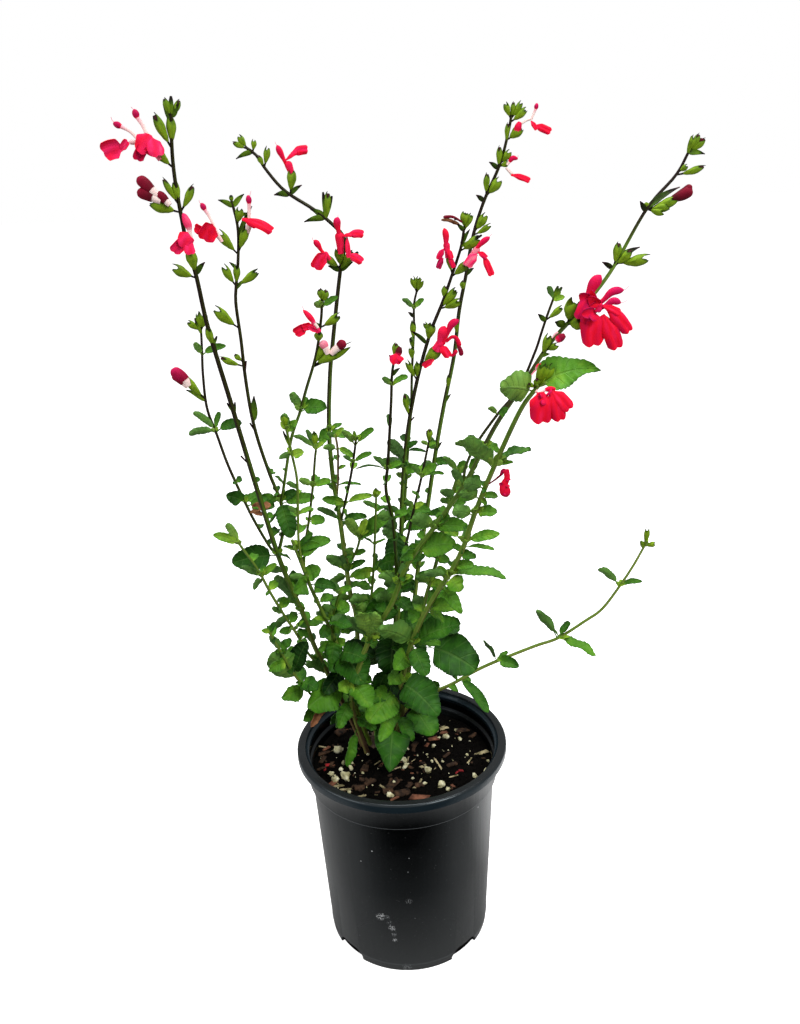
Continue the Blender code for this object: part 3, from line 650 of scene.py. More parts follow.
def wand_mesh(sides, rows):
    """A plain round rod, one unit in radius and length, with closed ends."""
    shape = bmesh.new()
    bmesh.ops.create_circle(shape, segments=sides, radius=1, cap_ends=True)
    edges = list(shape.edges)
    for row in range(rows):
        grown = bmesh.ops.extrude_edge_only(shape, edges=edges)["geom"]
        edges = [item for item in grown if isinstance(item, bmesh.types.BMEdge)
                 and len(item.link_faces) == 1]
        bmesh.ops.translate(shape, verts=[item for item in grown if isinstance(item, bmesh.types.BMVert)],
                            vec=(0, 0, 1 / rows))
    bmesh.ops.holes_fill(shape, edges=edges, sides=sides)
    bmesh.ops.recalc_face_normals(shape, faces=shape.faces)
    mesh = bpy.data.meshes.new("wand")
    shape.to_mesh(mesh)
    shape.free()
    return mesh


def new_shape():
    """An empty shape that keeps a tone for each point, from 0 to 1, which its material reads."""
    shape = bmesh.new()
    shape.verts.layers.float.new("tone")
    return shape


def copied(shape, template):
    """Adds a copy of a template to a shape and returns its points and the tone layer."""
    before = len(shape.verts)
    shape.from_mesh(template)
    shape.verts.ensure_lookup_table()
    return shape.verts[before:], shape.verts.layers.float["tone"]


def framed(line, hint):
    """For each point of a line, the point with a side and an up direction that turn smoothly."""
    side = hint
    frames = []
    for index, point in enumerate(line):
        ahead = (line[min(index + 1, len(line) - 1)] - line[max(index - 1, 0)]).normalized()
        side = (side - ahead * side.dot(ahead)).normalized()
        frames.append((point, side, ahead.cross(side)))
    return frames


def wand(shape, template, line, radius_at, tone_at=lambda along: 0.0, corners=0.0, hint=Vector((1, 0, 0))):
    """A rod along a line, with a radius and a tone for each share of its length."""
    rows = round(max(vert.co.z for vert in template.vertices) and len(line) - 1)
    frames = framed(line, hint)
    verts, tone = copied(shape, template)
    for vert in verts:
        along = vert.co.z
        angle = atan2(vert.co.y, vert.co.x)
        point, side, up = frames[round(along * rows)]
        reach = radius_at(along) * (1 + corners * cos(4 * angle))
        vert.co = point + side * reach * cos(angle) + up * reach * sin(angle)
        vert[tone] = tone_at(along) + (STEM_FLUSH * sin(2 * angle) if corners else 0)


STEM_FLUSH = 0.12


def stem_material():
    """Stem skin: tone 0 is woody brown, 0.35 olive green, 0.65 fresh green, 1 purple-black."""
    made, shader, spots = new_material("stem_skin", 0.45, 110.0, 1500.0, Specular_IOR_Level=0.1)
    tree = made.node_tree
    tone = node(tree, "ShaderNodeAttribute", attribute_name="tone")
    shifted = sums(tree, "ADD", tone.outputs["Fac"],
                   sums(tree, "MULTIPLY", sums(tree, "SUBTRACT", spots.outputs["Blotches"], 0.5), 0.22))
    color = ramp(tree, shifted, [
        (0.0, (0.085, 0.042, 0.030)), (0.18, (0.15, 0.095, 0.045)), (0.4, (0.19, 0.25, 0.045)),
        (0.62, (0.078, 0.160, 0.012)), (0.8, (0.026, 0.030, 0.004)), (1.0, (0.009, 0.003, 0.002)),
    ])
    tree.links.new(color, shader.inputs["Base Color"])
    bumped(tree, shader, spots.outputs["Grain"], 0.35, 0.0004)
    return made


STEM_SKIN = stem_material()
WAND = {rows: wand_mesh(WAND_SIDES, rows) for rows in (24, 60, 110)}
stems = {}


def stem(name, parent, foot_radius, tip_radius, tones, route, packed=True):
    """A stem along a route of (across, down, depth), from the crown or from its parent stem.

    tones are (share of the length, tone) pairs for the skin's colour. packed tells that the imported
    model has the stem too.
    """
    line = smooth_line([place(*point) for point in route])
    if parent == CROWN:
        line.insert(0, line[0] - (line[3] - line[0]).normalized() * 6 * MM)
    length = sum((b - a).length for a, b in zip(line, line[1:]))
    rows = 24 if length < 110 * MM else 60 if length < 260 * MM else 110

    def radius_at(along):
        flare = 0.35 * exp(-along * length / (6 * MM)) if parent == CROWN else 0.25 * exp(-along * length / (3 * MM))
        share = FOOT_SHARE + (TIP_SHARE - FOOT_SHARE) * along
        return share * (foot_radius + (tip_radius - foot_radius) * along + foot_radius * flare)

    def tone_at(along):
        for (low, first), (high, second) in zip(tones, tones[1:]):
            if along <= high:
                return first + (second - first) * (along - low) / (high - low)
        return tones[-1][1]

    shape = new_shape()
    wand(shape, WAND[rows], resample(line, rows), radius_at, tone_at, 0.13)
    bmesh.ops.recalc_face_normals(shape, faces=shape.faces)
    finish_piece(name + "_skin", shape, STEM_SKIN, [name] if packed else [], 60)
    fine = resample(line, LINE_STEPS)
    stems[name] = {"line": fine, "radius": [radius_at(step / LINE_STEPS) for step in range(LINE_STEPS + 1)]}


WOODY_TO_DARK = [(0, 0.06), (0.1, 0.14), (0.2, 0.42), (0.35, 0.62), (0.5, 0.78), (0.66, 0.95), (1, 0.95)]
GREEN_TO_DARK = [(0, 0.15), (0.2, 0.45), (0.5, 0.68), (0.75, 0.92), (1, 0.95)]
DARK_SHOOT = [(0, 0.7), (0.3, 0.85), (0.8, 0.97), (1, 0.9)]
GREEN_SHOOT = [(0, 0.5), (0.5, 0.6), (1, 0.62)]
OLIVE = [(0, 0.2), (0.2, 0.42), (0.6, 0.47), (0.8, 0.5), (1, 0.55)]

stem("stem_left_tall", CROWN, 2.1 * MM, 0.6 * MM, WOODY_TO_DARK, [
    (362, 743, 16), (348, 713, 14), (331, 680, 10), (314, 645, 5), (302, 612, 0), (290, 585, -4),
    (278, 555, -9), (262, 505, -14), (245, 450, -20), (230, 400, -26), (217, 358, -31), (206, 320, -35),
    (196, 275, -39), (188, 250, -41), (181, 215, -43), (175, 180, -45), (172, 150, -46), (171, 110, -47),
])
stem("stem_left_second", "stem_left_tall", 1.3 * MM, 0.55 * MM, DARK_SHOOT, [
    (278, 555, -9), (283, 530, -3), (281, 503, 2), (270, 475, 5), (258, 440, 7), (251, 412, 8),
    (245, 375, 10), (241, 340, 11), (236, 305, 12), (236, 288, 13), (238, 262, 14), (238, 230, 15),
    (233, 206, 16), (231, 199, 16),
])
stem("shoot_left_outer", "stem_left_tall", 1.1 * MM, 0.5 * MM, DARK_SHOOT, [
    (278, 555, -9), (270, 547, -5), (255, 522, 3), (243, 498, 9), (228, 465, 16), (217, 435, 22),
    (207, 408, 26), (203, 375, 29), (202, 350, 31), (201, 329, 32),
])
stem("shoot_left_inner", "stem_left_second", 1.1 * MM, 0.5 * MM,
     [(0, 0.7), (0.4, 0.62), (0.7, 0.8), (1, 0.95)], [
    (281, 503, 2), (284, 485, -3), (291, 440, -12), (300, 412, -17), (306, 390, -21), (316, 355, -26),
    (321, 320, -30), (322, 300, -33),
])
stem("stem_bent", CROWN, 2.0 * MM, 0.6 * MM,
     [(0, 0.12), (0.15, 0.4), (0.35, 0.46), (0.5, 0.66), (0.62, 0.8), (0.72, 0.93), (1, 0.98)], [
    (377, 735, 28), (366, 700, 27), (359, 660, 26), (356, 615, 25), (350, 592, 25), (340, 520, 30),
    (333, 478, 34), (329, 430, 38), (330, 375, 42), (333, 340, 45), (337, 300, 48), (341, 265, 51),
    (345, 240, 53), (332, 224, 54), (313, 209, 55), (285, 191, 56), (267, 171, 57), (256, 155, 57.5),
    (245, 147, 58),
])
stem("shoot_beside_bent", "stem_bent", 1.0 * MM, 0.5 * MM, DARK_SHOOT, [
    (341, 520, 30), (344, 508, 27), (351, 475, 18), (355, 448, 12), (356, 438, 10),
])
stem("shoot_bent_twin", "stem_bent", 0.8 * MM, 0.5 * MM, [(0, 0.3), (0.3, 0.1), (1, 0.2)], [
    (337, 494, 33), (338, 482, 29), (338, 470, 27), (338, 455, 25), (337, 444, 24), (335, 434, 24),
], False)
stem("shoot_bent_side", "stem_bent", 0.9 * MM, 0.6 * MM, GREEN_SHOOT, [
    (349, 566, 26), (354, 556, 21), (358, 546, 18), (361, 534, 16),
], False)
stem("shoot_left_foot", "stem_left_tall", 0.9 * MM, 0.5 * MM, GREEN_SHOOT, [
    (331, 680, 10), (333, 665, 2), (333, 650, -5), (332, 630, -11), (334, 612, -15), (340, 592, -18),
], False)
stem("stem_short_pair", CROWN, 1.9 * MM, 0.7 * MM, GREEN_SHOOT, [
    (371, 746, 17), (359, 716, 13), (350, 690, 8), (341, 655, -3), (327, 622, -14), (312, 590, -24), (304, 570, -28),
    (292, 540, -33),
])
stem("shoot_short_left", "stem_short_pair", 0.9 * MM, 0.5 * MM, GREEN_SHOOT, [
    (304, 570, -28), (299, 545, -33), (298, 515, -37), (297, 480, -42), (292, 455, -45), (287, 432, -48),
    (285, 427, -49),
])
stem("shoot_short_right", "stem_short_pair", 0.9 * MM, 0.5 * MM, [(0, 0.6), (0.5, 0.8), (1, 0.8)], [
    (304, 570, -28), (305, 545, -24), (309, 520, -21), (313, 485, -17), (315, 458, -13), (316, 450, -12),
])
stem("stem_middle", CROWN, 1.5 * MM, 0.5 * MM, GREEN_TO_DARK, [
    (382, 747, 12), (387, 700, 8), (393, 650, 3), (396, 600, -3), (396, 560, -9), (393, 520, -15),
    (386, 490, -20), (388, 462, -26), (391, 405, -36), (392, 375, -40), (395, 355, -43),
])
stem("stem_back_second", CROWN, 2.0 * MM, 0.6 * MM,
     [(0, 0.3), (0.3, 0.6), (0.55, 0.7), (0.68, 0.9), (1, 1.0)], [
    (388, 731, 32), (394, 690, 34), (398, 617, 38), (401, 541, 44), (402, 499, 48), (407, 436, 54),
    (417, 381, 58), (430, 334, 60), (443, 301, 62), (454, 269, 63), (461, 247, 64), (464, 229, 64),
])
stem("shoot_middle_back", "stem_back_second", 1.1 * MM, 0.5 * MM,
     [(0, 0.6), (0.5, 0.68), (0.7, 0.85), (1, 1.0)], [
    (401, 545, 44), (405, 500, 53), (408, 450, 60), (411, 410, 64), (412, 370, 68), (414, 330, 72),
    (414, 305, 75), (417, 290, 77),
])
stem("stem_back_tall", CROWN, 2.0 * MM, 0.6 * MM,
     [(0, 0.3), (0.3, 0.6), (0.55, 0.7), (0.7, 0.85), (0.8, 0.97), (1, 0.9)], [
    (397, 735, 24), (406, 690, 32), (411, 650, 40), (413, 617, 46), (418, 569, 54), (426, 517, 62),
    (436, 450, 70), (444, 405, 76), (454, 356, 82), (459, 312, 88), (466, 275, 92), (473, 236, 96),
    (484, 201, 99), (500, 164, 102), (509, 129, 104), (512, 110, 105),
])
stem("stem_right_tall", CROWN, 2.1 * MM, 0.6 * MM,
     [(0, 0.1), (0.12, 0.42), (0.32, 0.5), (0.5, 0.62), (0.62, 0.8), (0.75, 0.62), (0.86, 0.56), (0.91, 0.9),
      (1, 1.0)], [
    (367, 752, 5), (355, 718, 1), (352, 698, -3), (355, 680, -7), (369, 641, -13), (391, 605, -20), (408, 564, -28),
    (433, 529, -32), (463, 487, -34), (484, 447, -34), (499, 420, -32), (524, 383, -29), (551, 342, -24),
    (582, 308, -18), (611, 271, -10), (646, 210, 0), (676, 175, 6), (688, 153, 9),
])
stem("shoot_right_inner", "stem_right_tall", 1.0 * MM, 0.5 * MM, DARK_SHOOT, [
    (463, 487, -34), (466, 466, -28), (477, 443, -22), (497, 415, -15), (519, 388, -7), (535, 352, 2),
    (541, 334, 6), (547, 316, 10), (554, 297, 15),
])
stem("shoot_middle_low", "stem_right_tall", 1.0 * MM, 0.5 * MM, DARK_SHOOT, [
    (399, 578, -25), (405, 550, -18), (414, 509, -10), (422, 475, -4), (428, 446, 0), (430, 440, 1),
])
stem("stem_front", CROWN, 2.1 * MM, 0.9 * MM, OLIVE, [
    (391, 739, 22), (396, 706, 12), (403, 675, 0), (412, 643, -14), (424, 615, -26), (440, 588, -37),
    (449, 575, -42), (463, 548, -51), (475, 513, -61), (494, 467, -72), (520, 411, -82), (538, 386, -87),
])
stem("shoot_front", "stem_front", 1.4 * MM, 0.8 * MM, GREEN_SHOOT, [
    (422, 618, -24), (425, 600, -22), (430, 583, -20), (437, 560, -18), (443, 530, -16), (449, 505, -14),
    (459, 473, -12),
])
stem("stem_trailing", CROWN, 1.6 * MM, 0.6 * MM, [(0, 0.3), (0.3, 0.5), (1, 0.5)], [
    (392, 733, 29), (407, 708, 41), (427, 695, 49), (452, 684, 55), (475, 671, 60), (497, 661, 64),
    (535, 646, 68), (558, 638, 70), (585, 621, 72), (602, 609, 73), (619, 587, 74), (633, 566, 75),
    (645, 545, 76),
])
stem("shoot_low_left", "stem_left_tall", 1.2 * MM, 0.6 * MM, GREEN_SHOOT, [
    (324, 672, 9), (308, 653, 0), (296, 633, -8), (284, 615, -16), (270, 592, -25), (258, 570, -33),
    (240, 545, -42),
])
stem("shoot_low_left_front", "stem_left_tall", 1.2 * MM, 0.6 * MM, GREEN_SHOOT, [
    (345, 709, 13), (328, 703, 2), (314, 697, -8), (303, 685, -17), (292, 671, -26), (281, 652, -34),
    (269, 632, -42),
])
stem("shoot_centre", "stem_right_tall", 1.0 * MM, 0.5 * MM, GREEN_SHOOT, [
    (369, 641, -12), (368, 618, -4), (372, 590, 2), (374, 560, 6), (375, 535, 8), (376, 505, 10),
    (376, 494, 10),
])

# Leaves
# Small soft ovate blades in opposite pairs, each on a short stalk: blunt teeth round the edge,
# veins sunk into the upper face so that it looks quilted, and a paler, matt underside.
LEAF_THICKNESS = 0.4 * MM
STALK_WIDTH = 0.9 * MM
FINE_LEAF_LENGTH = 11 * MM
LONG_LEAF = 20 * MM
LEAF_SPREAD = 1.14


def sheet_mesh(rows, columns):
    """A flat sheet one unit long and from -1 to 1 across, with a little thickness."""
    shape = bmesh.new()
    bmesh.ops.create_grid(shape, x_segments=rows, y_segments=columns, size=1)
    bmesh.ops.solidify(shape, geom=list(shape.faces), thickness=0.2)
    for vert in shape.verts:
        vert.co.x = (vert.co.x + 1) / 2
    bmesh.ops.recalc_face_normals(shape, faces=shape.faces)
    middle = sum(vert.co.z for vert in shape.verts) / len(shape.verts)
    for vert in shape.verts:
        vert.co.z = 0.5 if vert.co.z > middle else -0.5
    mesh = bpy.data.meshes.new("sheet")
    shape.to_mesh(mesh)
    shape.free()
    return mesh


SMALL_SHEET = sheet_mesh(8, 4)
PETAL_SHEET = sheet_mesh(20, 10)
LEAF_SHEET = sheet_mesh(42, 8)


def new_growth():
    """An empty shape for leaves and petals, which keeps each point's tone and its place on the blade."""
    shape = new_shape()
    shape.verts.layers.float_vector.new("blade")
    return shape


def bowed(start, middle, end, steps=40):
    """A line from start to end that is pulled towards a middle point."""
    shares = [step / steps for step in range(steps + 1)]
    return [start * (1 - t) ** 2 + middle * (2 * t * (1 - t)) + end * t**2 for t in shares]


def blade_side(line, turn):
    """Which way a blade's width runs: straight across the view at a turn of 0, edge-on at 90 degrees."""
    ahead = (line[-1] - line[0]).normalized()
    flat = ahead.cross(line[0] - EYE).normalized()
    face = flat.cross(ahead)
    return flat * cos(turn) + face * sin(turn)


def sheet(shape, template, line, side, half_at, thickness, tone_at, curl=0.3, lift_at=None, reach_at=None):
    """A blade along a line. half_at is its half width for each share of its length, curl the angle
    that its section bends upwards to each side, lift_at and reach_at further moves up and along."""
    frames = framed(line, side)
    if frames[0][2].z + frames[-1][2].z < 0:
        frames = [(point, -across, -up) for point, across, up in frames]
    verts, tone = copied(shape, template)
    blade = shape.verts.layers.float_vector["blade"]
    last = len(line) - 1
    for vert in verts:
        along, aside, face = vert.co
        walk = min(max((along + (reach_at(along, aside) if reach_at else 0)) * last, 0), last - 1e-6)
        low = int(walk)
        point = frames[low][0].lerp(frames[low + 1][0], walk - low)
        across, up = frames[low][1], frames[low][2]
        half = half_at(along)
        bend = curl if curl else 1e-4
        out = half * sin(aside * bend) / bend
        rise = half * (1 - cos(aside * bend)) / bend
        if lift_at:
            rise += lift_at(along, aside)
        skin = thickness * min(1, 0.35 + half / MM) * face
        normal = up * cos(aside * bend) - across * sin(aside * bend)
        vert.co = point + across * out + up * rise + normal * skin
        vert[tone] = tone_at(along, aside)
        vert[blade] = (along, aside, face + 0.5)


def nearest_step(stem_name, node_at):
    """The step of a stem's line that is seen closest to a picture position."""
    line = stems[stem_name]["line"]
    return min(range(len(line)), key=lambda step: (seen(line[step]) - Vector(node_at)).length)


def leaf(shape, stem_name, node_at, tip_at, width, toward, turn, tone, chance, stalk=None, taper=None):
    """A leaf from a stem's node to a tip, both given as seen in the picture."""
    root = stems[stem_name]["line"][nearest_step(stem_name, node_at)]
    tip = place(*tip_at, root.y / MM - toward)
    grow_leaf(shape, root, tip, width * MM, radians(turn), tone, chance, stalk, taper)


def grow_leaf(shape, root, tip, width, turn, tone, chance, stalk=None, taper=None, plain=False):
    length = (tip - root).length
    middle = root.lerp(tip, 0.45) + Vector((0, 0, length * chance.uniform(0.12, 0.26)))
    line = bowed(root, middle, tip)
    stalk = stalk or chance.uniform(0.14, 0.22)
    teeth = max(4, round(length * (1 - stalk) / (2.7 * MM)))
    shoulder = 0.62 - 0.55 * min(width / length, 0.7) + chance.uniform(-0.05, 0.05)
    taper = taper or chance.uniform(0.4, 0.6)
    young_base = 0.34 if length < LONG_LEAF else 0.06
    widest = shoulder / (shoulder + taper)
    fullest = widest**shoulder * (1 - widest) ** taper
    veins = max(3, round(length / (4.5 * MM)))
    sway = chance.uniform(0, 2 * pi)
    ruffle = width * chance.uniform(0.05, 0.12)
    quilt = min(0.4 * MM, width * 0.03)
    fold = chance.uniform(0.3, 0.75)

    def half_at(along):
        if along < stalk:
            return STALK_WIDTH / 2 * (1.2 - 0.4 * along / stalk)
        share = (along - stalk) / (1 - stalk)
        swell = share**shoulder * max(0, 1 - share) ** taper / fullest
        scallop = 1 - 0.08 * (1 - abs(sin(pi * teeth * share)))
        return max(width / 2 * LEAF_SPREAD * swell * scallop, 0.25 * MM)

    def lift_at(along, aside):
        if along < stalk:
            return 0
        share = (along - stalk) / (1 - stalk)
        puff = quilt * cos(2 * pi * (veins * share - 0.8 * abs(aside))) * min(1, 3 * abs(aside))
        wave = ruffle * sin(2 * pi * 1.7 * share + sway + (1 if aside > 0 else 2.2)) * abs(aside) ** 1.6
        crease = 0.6 * MM * (abs(aside) ** 0.7) * min(1, width / (10 * MM))
        return puff + wave + crease

    def tone_at(along, aside):
        return tone + young_base * max(0, 1 - along / 0.45) - 0.14 * aside**4 * min(1, along / 0.3)

    template = LEAF_SHEET if length > FINE_LEAF_LENGTH and not plain else SMALL_SHEET
    sheet(shape, template, line, blade_side(line, turn), half_at, LEAF_THICKNESS, tone_at, fold, lift_at)


def tuft(shape, spot, heading, count, size, tone, chance):
    """Young leaves that open round a shoot's tip or in the angle of a leaf."""
    for index in range(count):
        angle = 2 * pi * (index / count + chance.uniform(-0.08, 0.08))
        out = Vector((cos(angle), sin(angle), 0))
        length = size * chance.uniform(0.7, 1.1)
        tip = spot + (heading.normalized() * chance.uniform(0.6, 1.0) + out * chance.uniform(0.5, 0.9)) * length
        grow_leaf(shape, spot, tip, length * chance.uniform(0.38, 0.5), chance.uniform(-0.8, 0.8), tone, chance)


def leaf_material():
    """Tone 0 is an old dark leaf and 1 a young yellow-green one. Veins follow the blade."""
    made, shader, spots = new_material("leaf_skin", 0.5, 130.0, 1300.0, Specular_IOR_Level=0.14)
    tree = made.node_tree
    tone = node(tree, "ShaderNodeAttribute", attribute_name="tone")
    blade = node(tree, "ShaderNodeAttribute", attribute_name="blade")
    parts = tree.nodes.new("ShaderNodeSeparateXYZ")
    tree.links.new(blade.outputs["Vector"], parts.inputs[0])
    along, aside, face = parts.outputs
    spread = sums(tree, "ABSOLUTE", aside, 0.0)
    shifted = sums(tree, "ADD", tone.outputs["Fac"],
                   sums(tree, "MULTIPLY", sums(tree, "SUBTRACT", spots.outputs["Blotches"], 0.5), 0.5))
    upper = ramp(tree, shifted, [
        (0.0, (0.0025, 0.022, 0.002)), (0.3, (0.023, 0.104, 0.006)), (0.6, (0.082, 0.240, 0.014)),
        (1.0, (0.30, 0.48, 0.035)),
    ])
    under = mixed(tree, "MIX", 0.4, upper, (0.13, 0.24, 0.075))
    color = mixed(tree, "MIX", face, under, upper)
    midrib = ramp(tree, spread, [(0.03, (1, 1, 1)), (0.09, (0, 0, 0))])
    slanted = sums(tree, "SUBTRACT", sums(tree, "MULTIPLY", along, 6.5), sums(tree, "MULTIPLY", spread, 0.9))
    vein = ramp(tree, sums(tree, "PINGPONG", slanted, 0.5), [(0.02, (1, 1, 1)), (0.09, (0, 0, 0))])
    lines = sums(tree, "MAXIMUM", midrib, sums(tree, "MULTIPLY", vein, 0.6))
    color = mixed(tree, "MIX", sums(tree, "MULTIPLY", lines, 0.2), color, (0.14, 0.26, 0.055))
    tree.links.new(color, shader.inputs["Base Color"])
    height = sums(tree, "SUBTRACT", sums(tree, "MULTIPLY", spots.outputs["Grain"], 0.5), lines)
    bumped(tree, shader, height, 0.6, 0.0007)
    return made


LEAF_SKIN = leaf_material()


PAIR_GAP = 17 * MM
LEAFY_FROM = 172 * MM
LEAFY_TO = 400 * MM
FRONT_LEAFY_FROM = 225 * MM
LOW_PAIR = 19 * MM
HIGH_PAIR = 9 * MM
BARE_STEMS = ("stem_trailing",)


def crossing_pairs(shape, line, tone, chance):
    """The leaf pairs that point to the front and the back, between the pairs that point sideways."""
    pitch = (line[1] - line[0]).length
    for base_step in range(round(0.6 * PAIR_GAP / pitch), LINE_STEPS - 12, round(PAIR_GAP / pitch)):
        spot = line[base_step + round(chance.uniform(-4, 4) * MM / pitch)]
        share = (spot.z - LEAFY_FROM) / (LEAFY_TO - LEAFY_FROM)
        size = (LOW_PAIR + (HIGH_PAIR - LOW_PAIR) * share) * chance.uniform(0.65, 1.2)
        front_share = chance.uniform(0.3, 0.75) if chance.random() < 0.45 else 0
        for heading in (1, -front_share):
            if not heading or not (LEAFY_FROM if heading > 0 else FRONT_LEAFY_FROM) < spot.z < LEAFY_TO:
                continue
            out = Vector((0, heading, 0)) + ACROSS * chance.uniform(-0.45, 0.45) * abs(heading)
            tip = spot + (out + Vector((0, 0, chance.uniform(-0.1, 0.35)))) * size
            grow_leaf(shape, spot, tip, (tip - spot).length * chance.uniform(0.42, 0.55), chance.uniform(-0.4, 0.4),
                      tone + chance.uniform(-0.2, 0.15), chance, plain=True)


def foliage(stem_name, nodes, tone, blades, tufts=()):
    """A stem's leaves as one piece, and the young tufts at (across, down, count, size, tone).

    blades are (node across, down, tip across, down, width in mm, toward, turn), and for some leaves
    also the stalk's share of the length, how much younger the leaf is than its neighbours, and how
    pointed it is.
    """
    shape = new_growth()
    chance = Random(stem_name)
    line = stems[stem_name]["line"]
    for node_across, node_down, tip_across, tip_down, width, toward, turn, *extra in blades:
        stalk, younger, taper = (extra + [None] * 3)[:3]
        younger = younger or 0
        shade = tone + younger + chance.uniform(-0.2, 0.2)
        leaf(shape, stem_name, (node_across, node_down), (tip_across, tip_down), width, toward, turn, shade, chance,
             stalk, taper)
    for across, down, count, size, young in tufts:
        step = nearest_step(stem_name, (across, down))
        heading = line[min(step + 1, LINE_STEPS)] - line[max(step - 1, 0)]
        tuft(shape, line[step], heading, count, size * MM, young, chance)
    if stem_name not in BARE_STEMS:
        crossing_pairs(shape, line, tone, Random(stem_name + "_crossing"))
    bmesh.ops.recalc_face_normals(shape, faces=shape.faces)
    finish_piece(stem_name + "_leaves", shape, LEAF_SKIN, nodes, 50)


foliage("stem_left_tall", [], 0.4, [
    (338, 693, 318, 699, 8, 6, 30), (303, 613, 272, 631, 8, 8, 50), (297, 606, 275, 577, 9, 4, 20),
    (296, 604, 293, 570, 8, -4, 40), (297, 607, 277, 601, 5, 4, 30), (278, 555, 232, 563, 17, 4, 15),
    (278, 556, 291, 560, 4, -6, 65), (286, 574, 262, 572, 6, -8, 30), (328, 672, 306, 664, 10, 10, 40),
    (336, 688, 352, 694, 9, -8, 30), (322, 660, 340, 656, 9, -10, 30), (308, 628, 322, 622, 8, -10, 40),
    (292, 590, 306, 583, 8, -10, 40), (345, 710, 330, 724, 9, 12, 40), (262, 505, 256, 492, 4, -6, 30),
], [(338, 693, 4, 8, 0.8), (303, 613, 4, 7, 0.8), (278, 555, 3, 6, 0.8), (322, 660, 4, 7, 0.7)])
foliage("stem_left_second", [], 0.42, [
    (281, 503, 297, 491, 6, 4, 10), (281, 504, 315, 498, 8, 4, 20), (286, 500, 291, 538, 13, 8, 10, 0.15, -0.25),
    (281, 510, 270, 523, 3, 2, 40), (280, 503, 262, 496, 6, -4, 20), (270, 475, 268, 466, 2, 1, 60),
    (270, 475, 273, 474, 2, 1, 60),
], [(281, 503, 4, 8, 0.85)])
foliage("shoot_left_outer", [], 0.45, [
    (247, 503, 226, 496, 10, 4, 10), (249, 505, 275, 507, 9, 6, 10), (217, 432, 189, 435, 6, 6, 30),
    (217, 431, 193, 413, 5, 2, 20), (217, 432, 242, 423, 7, 4, 10), (217, 430, 220, 412, 4, -2, 20),
    (247, 503, 262, 494, 7, -6, 20), (202, 356, 194, 343, 5, 3, 15), (202, 355, 226, 346, 5, 3, 15),
], [(247, 503, 3, 6, 0.8), (217, 432, 3, 5, 0.9)])
foliage("shoot_left_inner", [], 0.6, [
    (303, 412, 291, 393, 6, 4, 15), (303, 413, 327, 408, 10, 6, 15), (302, 414, 308, 398, 5, -4, 30),
    (323, 309, 314, 303, 4, 2, 20), (323, 308, 338, 297, 4, 2, 20), (284, 485, 275, 476, 3, 1, 50),
], [(303, 412, 4, 6, 0.8), (323, 308, 3, 5, 0.9)])
foliage("stem_bent", [], 0.42, [
    (329, 432, 318, 441, 9, 8, 20), (329, 432, 345, 438, 6, 2, 30), (329, 431, 342, 424, 4, -3, 30),
    (335, 487, 361, 485, 3, 2, 40), (335, 488, 326, 484, 2, 2, 50), (341, 521, 317, 509, 5, 3, 20),
    (340, 521, 367, 517, 6, 3, 25), (349, 570, 326, 558, 8, 5, 15), (350, 572, 366, 561, 5, 3, 20),
    (351, 578, 365, 570, 5, 5, 30), (350, 574, 341, 555, 4, 4, 30), (352, 585, 372, 590, 8, 10, 45),
    (353, 598, 330, 603, 8, 8, 40), (354, 600, 372, 607, 10, 12, 30), (357, 625, 340, 632, 10, 12, 30),
    (358, 640, 380, 652, 12, 14, 25), (361, 665, 352, 682, 10, 16, 20), (350, 575, 330, 588, 8, -4, 40),
    (345, 555, 354, 548, 4, -5, 40),
], [(329, 432, 5, 6, 0.9), (335, 487, 3, 5, 0.7), (341, 521, 3, 6, 0.7), (350, 572, 5, 9, 0.8),
    (355, 603, 4, 8, 0.7)])
foliage("shoot_beside_bent", [], 0.6, [
    (345, 504, 322, 499, 7, 3, 15), (345, 504, 372, 496, 5, 3, 20), (354, 463, 372, 453, 4, 3, 20),
    (353, 463, 343, 456, 3, 2, 30), (344, 508, 346, 516, 3, 3, 30), (356, 446, 374, 429, 5, 2, 20),
    (356, 446, 342, 431, 5, 2, 20), (345, 504, 338, 510, 3, 2, 30),
], [(356, 441, 5, 7, 1.0), (354, 463, 3, 5, 0.9), (345, 504, 2, 4, 0.8)])
foliage("stem_short_pair", ["leaf_short_foot"], 0.4, [
    (350, 690, 307, 708, 25, 30, 20, 0.2, -0.05), (303, 550, 331, 541, 8, 4, 15), (304, 556, 320, 544, 9, 5, 10),
    (341, 653, 364, 684, 27, 8, 15, 0.1, -0.2), (336, 640, 331, 664, 12, 6, 20, 0.15, -0.2),
    (340, 650, 374, 656, 14, -4, 20, 0.15, -0.2),
    (333, 630, 352, 622, 13, 4, 25, 0.2, -0.15), (345, 668, 324, 694, 13, 14, 20, 0.2, -0.2),
    (303, 548, 313, 534, 4, 1, 20), (302, 548, 283, 547, 3, 2, 50), (308, 578, 321, 570, 11, 5, 15),
    (308, 580, 290, 577, 5, 4, 25), (309, 584, 294, 593, 13, 9, 20), (310, 585, 336, 588, 8, 8, 20),
    (326, 620, 352, 628, 10, 10, 30), (327, 622, 318, 612, 8, 4, 30), (328, 626, 320, 638, 9, 8, 20),
    (333, 615, 350, 608, 10, -6, 20), (336, 644, 318, 650, 8, 8, 30), (340, 652, 366, 660, 16, 12, 20),
    (341, 655, 330, 672, 12, 14, 20), (327, 622, 340, 600, 8, -8, 30), (350, 690, 366, 706, 12, 14, 25),
    (352, 700, 336, 728, 10, 22, 25), (347, 680, 372, 682, 12, 10, 25), (318, 603, 334, 598, 7, 2, 30),
], [(303, 548, 4, 8, 0.85), (309, 582, 3, 7, 0.7), (327, 622, 5, 9, 0.8), (341, 655, 4, 8, 0.6)])
